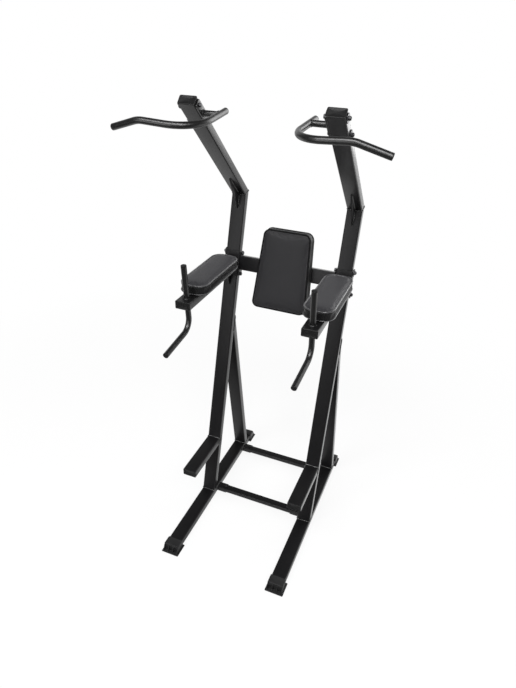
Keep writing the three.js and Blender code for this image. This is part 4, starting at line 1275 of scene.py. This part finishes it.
def hem_and_staples(pad):
    """The vinyl wrapped under the board, its cut edge wavering, and the staples that hold it."""
    loop = evenly(pad.outline(HEM_INSET), 3.0)
    inward = inwards(loop)
    number = np.arange(len(loop))
    cut = HEM_WIDTH + 1.3 * np.sin(number * 0.37) + 0.8 * np.sin(number * 1.13 + 0.6)
    profile = [(0.0, 0.95), (0.0, 0.25), (0.5, 0.0), (0.97, 0.05), (1.0, 0.4), (1.0, 0.95)]
    rings = np.stack([lifted(loop + inward * (cut * share)[:, None], z) for share, z in profile])
    hem = surface(rings, close_rows=True)
    fixings = bpy.context.scene.station_fixings
    places = evenly(pad.outline(STAPLE_INSET), fixings.staple_pitch / MM)
    half = fixings.staple / MM / 2
    wires = []
    for place, way, across in zip(places, directions(places, closed=True), inwards(places)):
        a = np.array([*(place - way * half), 1.0])
        b = np.array([*(place + way * half), 1.0])
        leg = (0, 0, 1.15)
        route = bent_route([a, a - leg, b - leg, b], [0.5, 0.5], 0.4)
        wires.append(surface(pipe(route, 0.35, (*across, 0.0), 6), caps=True))
    return hem, together(*wires)


def t_nuts(places):
    """Barrel and flange of the nuts that the pad's screws go into, seen in the board's underside."""
    profile = [(3.2, 0.3), (9.0, 0.3), (9.4, 0.7), (9.0, 1.1), (4.4, 1.3), (4.2, 9.0), (3.2, 9.0)]
    return together(*[
        surface(revolved(profile, (x, y, 0.0), Z_AXIS, 28), close_rows=True) for x, y in places])


def placed_piece(piece, place):
    """Moves a piece from the pad's axes to the station, and turns it over if its volume is negative."""
    mesh = piece.data
    give_points(mesh, place(points_of(mesh)))
    mesh.calc_loop_triangles()
    flat = np.empty(len(mesh.loop_triangles) * 3, int)
    mesh.loop_triangles.foreach_get("vertices", flat)
    corners = points_of(mesh)[flat.reshape(-1, 3)]
    if np.einsum("ij,ij->", corners[:, 0], np.cross(corners[:, 1], corners[:, 2])) < 0:
        mesh.flip_normals()


def upholster(pad, pad_node, board_node, finishes, nuts):
    """One whole pad: cushion, welt, seams, hem, staples and board."""
    settings = bpy.context.scene.station_upholstery
    skin, band, piping, yarn, wood, steel = finishes
    piece = filled(pad, settings)
    laid = sewn(piece, pad)
    welt_line = laid(evenly(pad.outline(pad.seam), 2.0))
    stitch_line = laid(evenly(pad.outline(pad.seam + STITCH_INSET), 2.0))
    placed_piece(piece, pad.place)
    dressed(piece, skin, [pad_node])
    radius = settings.welt / MM / 2
    foot_line = lifted(evenly(pad.outline(0.8), 2.0), 5.0)
    welt = together(*[
        surface(pipe(line, size, (0, 0, 1), 14, closed=True), close_rows=True)
        for line, size in ((welt_line + (0, 0, radius * 0.35), radius), (foot_line, radius * 0.6))])
    seam = stitches(stitch_line + (0, 0, 0.1), settings.stitch / MM, settings.stitch_pitch / MM)
    hem, wires = hem_and_staples(pad)
    board_points, board_faces = slab(evenly(pad.outline(BOARD_INSET), 4.0), BOARD_THICKNESS, 1.0)
    board = (board_points + (0, 0, 1.0), board_faces)
    for name, shell, finish, slot, replaces in (
            ("welt", welt, piping, "pad_vinyl", ()),
            ("stitches", seam, yarn, "pad_vinyl", ()),
            ("hem", hem, band, "pad_vinyl", ()),
            ("staples", wires, steel, "bolt_steel", ()),
            ("t_nuts", t_nuts(nuts), steel, "bolt_steel", ()),
            ("plywood", board, wood, "pad_board", [board_node])):
        make_piece(f"{pad.name}_{name}", moved(shell, pad.place), finish, replaces)


def arm_place(sign):
    def placed(points):
        return np.asarray(points, float) + np.array([sign * FRAME_X, PAD_Y, ARM_TOP + GAP])
    return placed


def back_place(points):
    """The back pad's own X, length and height, laid on the leaning face: height is in front of the posts."""
    x, y, z = np.moveaxis(np.asarray(points, float), -1, 0)
    return on_the_lean(np.stack([x, -GAP - z, BEAM_RUN + y], -1))


class STATION_OT_pads(bpy.types.Operator):
    """Make the arm pads and the back pad with welts, seams, hems and boards"""

    bl_idname = "station.pads"
    bl_label = "Pads"

    def execute(self, context):
        settings = context.scene.station_upholstery
        finishes = context.scene.station_finishes
        face = settings.face_colour
        edge = settings.band_colour
        roughness = settings.vinyl_roughness
        skin = vinyl("pad_vinyl_skin", face, roughness, 0.22, edge)
        band = vinyl("pad_vinyl_band", edge, roughness, 0.1)
        piping = vinyl("pad_vinyl_piping", face, roughness - 0.2, 1.0)
        rest = (thread("seam_thread", settings.thread_colour), plywood("board_plywood", finishes.wood_colour),
                bright_steel("staple_steel", finishes.staple_colour))
        for side, sign in (("left", -1.0), ("right", 1.0)):
            pad = Pad(name=f"cushion_arm_{side}", width=PAD_WIDTH, far_width=PAD_WIDTH, length=PAD_LENGTH,
                      thickness=46.0, crown=6.0, radius=55.0, seam=settings.seam_inset / MM, roll=7.0,
                      place=arm_place(sign))
            nuts = [(0.0, -120.0), (0.0, 120.0)]
            upholster(pad, f"arm_pad_{side}", f"arm_board_{side}", (skin, band, piping, *rest), nuts)
        pad = Pad(name="cushion_back", width=306.0, far_width=252.0, length=416.0,
                  thickness=50.0, crown=7.0, radius=38.0, seam=settings.back_seam_inset / MM, roll=15.0,
                  place=back_place)
        # Painted shade: the back pad has the arm pads' vinyl, darkened to 0.46 of the face colour because it
        # faces forward and gets less light than the arm pads' tops.
        skin = vinyl("pad_vinyl_back_painted_shade", tinted(face, 0.46), roughness, 0.22, edge)
        upholster(pad, "back_pad", "back_board", (skin, band, band, *rest), [(-70.0, 0.0), (70.0, 0.0)])
        return {"FINISHED"}


# Studio

class STATION_OT_studio(bpy.types.Operator):
    """Set up the pale floor, the soft light and the camera"""

    bl_idname = "station.studio"
    bl_label = "Studio"

    def execute(self, context):
        studio = context.scene.station_studio
        scene = context.scene
        angle = full_turn(64)
        disc = np.stack([np.cos(angle), np.sin(angle), np.zeros(64)], -1) * FLOOR_RADIUS
        floor = linked("studio_floor", disc, np.arange(64)[None])
        paint = floor_paint("studio_floor_paint", studio.floor_colour, studio.floor_lift, studio.room_shade)
        floor.data.materials.append(paint)
        white_surround(scene, studio.world_level, studio.room_shade)
        lamp("front_softbox", (-1.6, -4.4, 1.9), (0.0, 0.0, 1.4), 3.0, 1.6, studio.key_level)
        lamp("right_softbox", (2.4, -4.2, 3.6), (0.4, 0.0, 1.8), 1.0, 2.6, studio.right_level)
        lamp("overhead_strip", (0.3, -3.4, 5.4), (0.3, 0.0, 1.1), 6.2, 1.4, studio.top_level)
        lamp("rear_softbox", (2.2, 4.6, 2.9), (0.0, 0.0, 1.1), 2.6, 4.2, studio.rear_level)
        data = bpy.data.cameras.new("photograph")
        data.lens = 28.751122
        data.sensor_width = 36.0
        data.sensor_fit = "AUTO"
        data.clip_end = 200.0
        camera = bpy.data.objects.new("photograph", data)
        scene.collection.objects.link(camera)
        right = Vector((0.92463641, 0.3802194, 0.02192543))
        up = Vector((-0.21499188, 0.47357547, 0.85411051))
        back = Vector((0.31436604, -0.79445547, 0.5196292))
        pose = Matrix((right, up, back)).transposed().to_4x4()
        pose.translation = Vector((0.8340187, -2.1916866, 2.5304138))
        camera.matrix_world = pose
        scene.camera = camera
        scene.view_settings.view_transform = "Standard"
        return {"FINISHED"}


def lamp(name, place, target, width, height, level):
    """An area lamp aimed at a target, its power level * pi^2 * distance^2."""
    data = bpy.data.lights.new(name, "AREA")
    data.shape = "RECTANGLE"
    data.size = width
    data.size_y = height
    made = bpy.data.objects.new(name, data)
    made.visible_camera = False
    bpy.context.scene.collection.objects.link(made)
    aim = Vector(target) - Vector(place)
    data.energy = level * math.pi ** 2 * aim.length_squared
    turn = aim.to_track_quat("-Z", "Y").to_matrix().to_4x4()
    made.matrix_world = Matrix.Translation(Vector(place)) @ turn


def white_surround(scene, level, shade):
    """White behind; the room in front is dim, and in mirrors the sides and the ceiling too."""
    world = bpy.data.worlds.new("studio_surround")
    world.use_nodes = True
    scene.world = world
    sky = Shader.blank(world.node_tree)
    white = (1.0, 1.0, 1.0, 1.0)
    way = sky.node("TexCoord", output="Generated")
    height = sky.node("SeparateXYZ", {0: way}, "Z")
    behind = sky.node("SeparateXYZ", {0: way}, "Y")
    front = (behind * -2.5 + 0.1).clamped()
    aside = (behind * -2.5 + 1.6).clamped()
    ceiling = (height * 3.0 - 0.9).clamped()
    dark = ceiling.maths("MAXIMUM", ceiling, aside) * shade
    mirrored_ray = sky.node("LightPath", output="Is Glossy Ray")
    light = sky.node("Background", {"Color": white, "Strength": (1.0 - front * shade) * level})
    sight = sky.node("Background", {"Color": white, "Strength": 1.0 - dark * mirrored_ray})
    mixed = sky.node("MixShader", {0: seen(sky), 1: light, 2: sight})
    sky.fill(world.node_tree.nodes.new("ShaderNodeOutputWorld").inputs["Surface"], mixed)


def seen(shader):
    """1 for a ray that sees, mirrors or looks through to the background, 0 for one that carries light."""
    def ray(kind):
        return shader.node("LightPath", output=kind)
    either = ray("Is Camera Ray").maths("MAXIMUM", ray("Is Camera Ray"), ray("Is Glossy Ray"))
    return either.maths("MAXIMUM", either, ray("Is Transmission Ray"))


def floor_paint(name, colour, lift, shade):
    """Matte floor: lifted towards pure white where it is seen, dim in mirrors in front of the station."""
    paint = Shader(name, Roughness=0.9, Specular_IOR_Level=0.1)
    paint.feed("Base Color", paint.shades(paint.noise(1.5, 2.0), colour, 1.0, 1.02))
    ahead = paint.node("SeparateXYZ", {0: paint.place()}, "Y")
    dark = (ahead * -1.2 + 0.1).clamped() * shade * paint.node("LightPath", output="Is Glossy Ray")
    glow = paint.node("Emission", {"Strength": 1.0 - dark})
    surface_out = Socket(paint, paint.principled.outputs[0])
    away = paint.node("VectorMath", {0: paint.place()}, "Value", operation="LENGTH")
    share = (away * 0.45 - 0.5).clamped() * (1.0 - lift) + lift
    mixed = paint.node("MixShader", {0: seen(paint) * share, 1: surface_out, 2: glow})
    paint.fill(paint.output.inputs["Surface"], mixed)
    return paint.material


# Panel and run

GROUPS = {
    "station_finishes": StationFinishes,
    "station_upholstery": StationUpholstery,
    "station_fixings": StationFixings,
    "station_studio": StationStudio,
}
OPERATORS = (
    STATION_OT_frame,
    STATION_OT_bars,
    STATION_OT_caps,
    STATION_OT_feet,
    STATION_OT_bolts,
    STATION_OT_pads,
    STATION_OT_studio,
)


class STATION_PT_panel(bpy.types.Panel):
    """Every stage of the dip station, with its settings"""

    bl_idname = "STATION_PT_panel"
    bl_label = "Dip Station"
    bl_space_type = "VIEW_3D"
    bl_region_type = "UI"
    bl_category = "Dip Station"

    def draw(self, context):
        for operator in OPERATORS:
            self.layout.operator(operator.bl_idname)
        for name, group in GROUPS.items():
            box = self.layout.box()
            for key in group.__annotations__:
                box.prop(getattr(context.scene, name), key)


CLASSES = (*GROUPS.values(), *OPERATORS, STATION_PT_panel)


def register():
    for cls in CLASSES:
        bpy.utils.register_class(cls)
    for name, group in GROUPS.items():
        setattr(bpy.types.Scene, name, bpy.props.PointerProperty(type=group))


def unregister():
    for name in GROUPS:
        delattr(bpy.types.Scene, name)
    for cls in reversed(CLASSES):
        bpy.utils.unregister_class(cls)


def main():
    register()
    for operator in OPERATORS:
        group, action = operator.bl_idname.split(".")
        getattr(getattr(bpy.ops, group), action)()


if __name__ == "__main__":
    main()
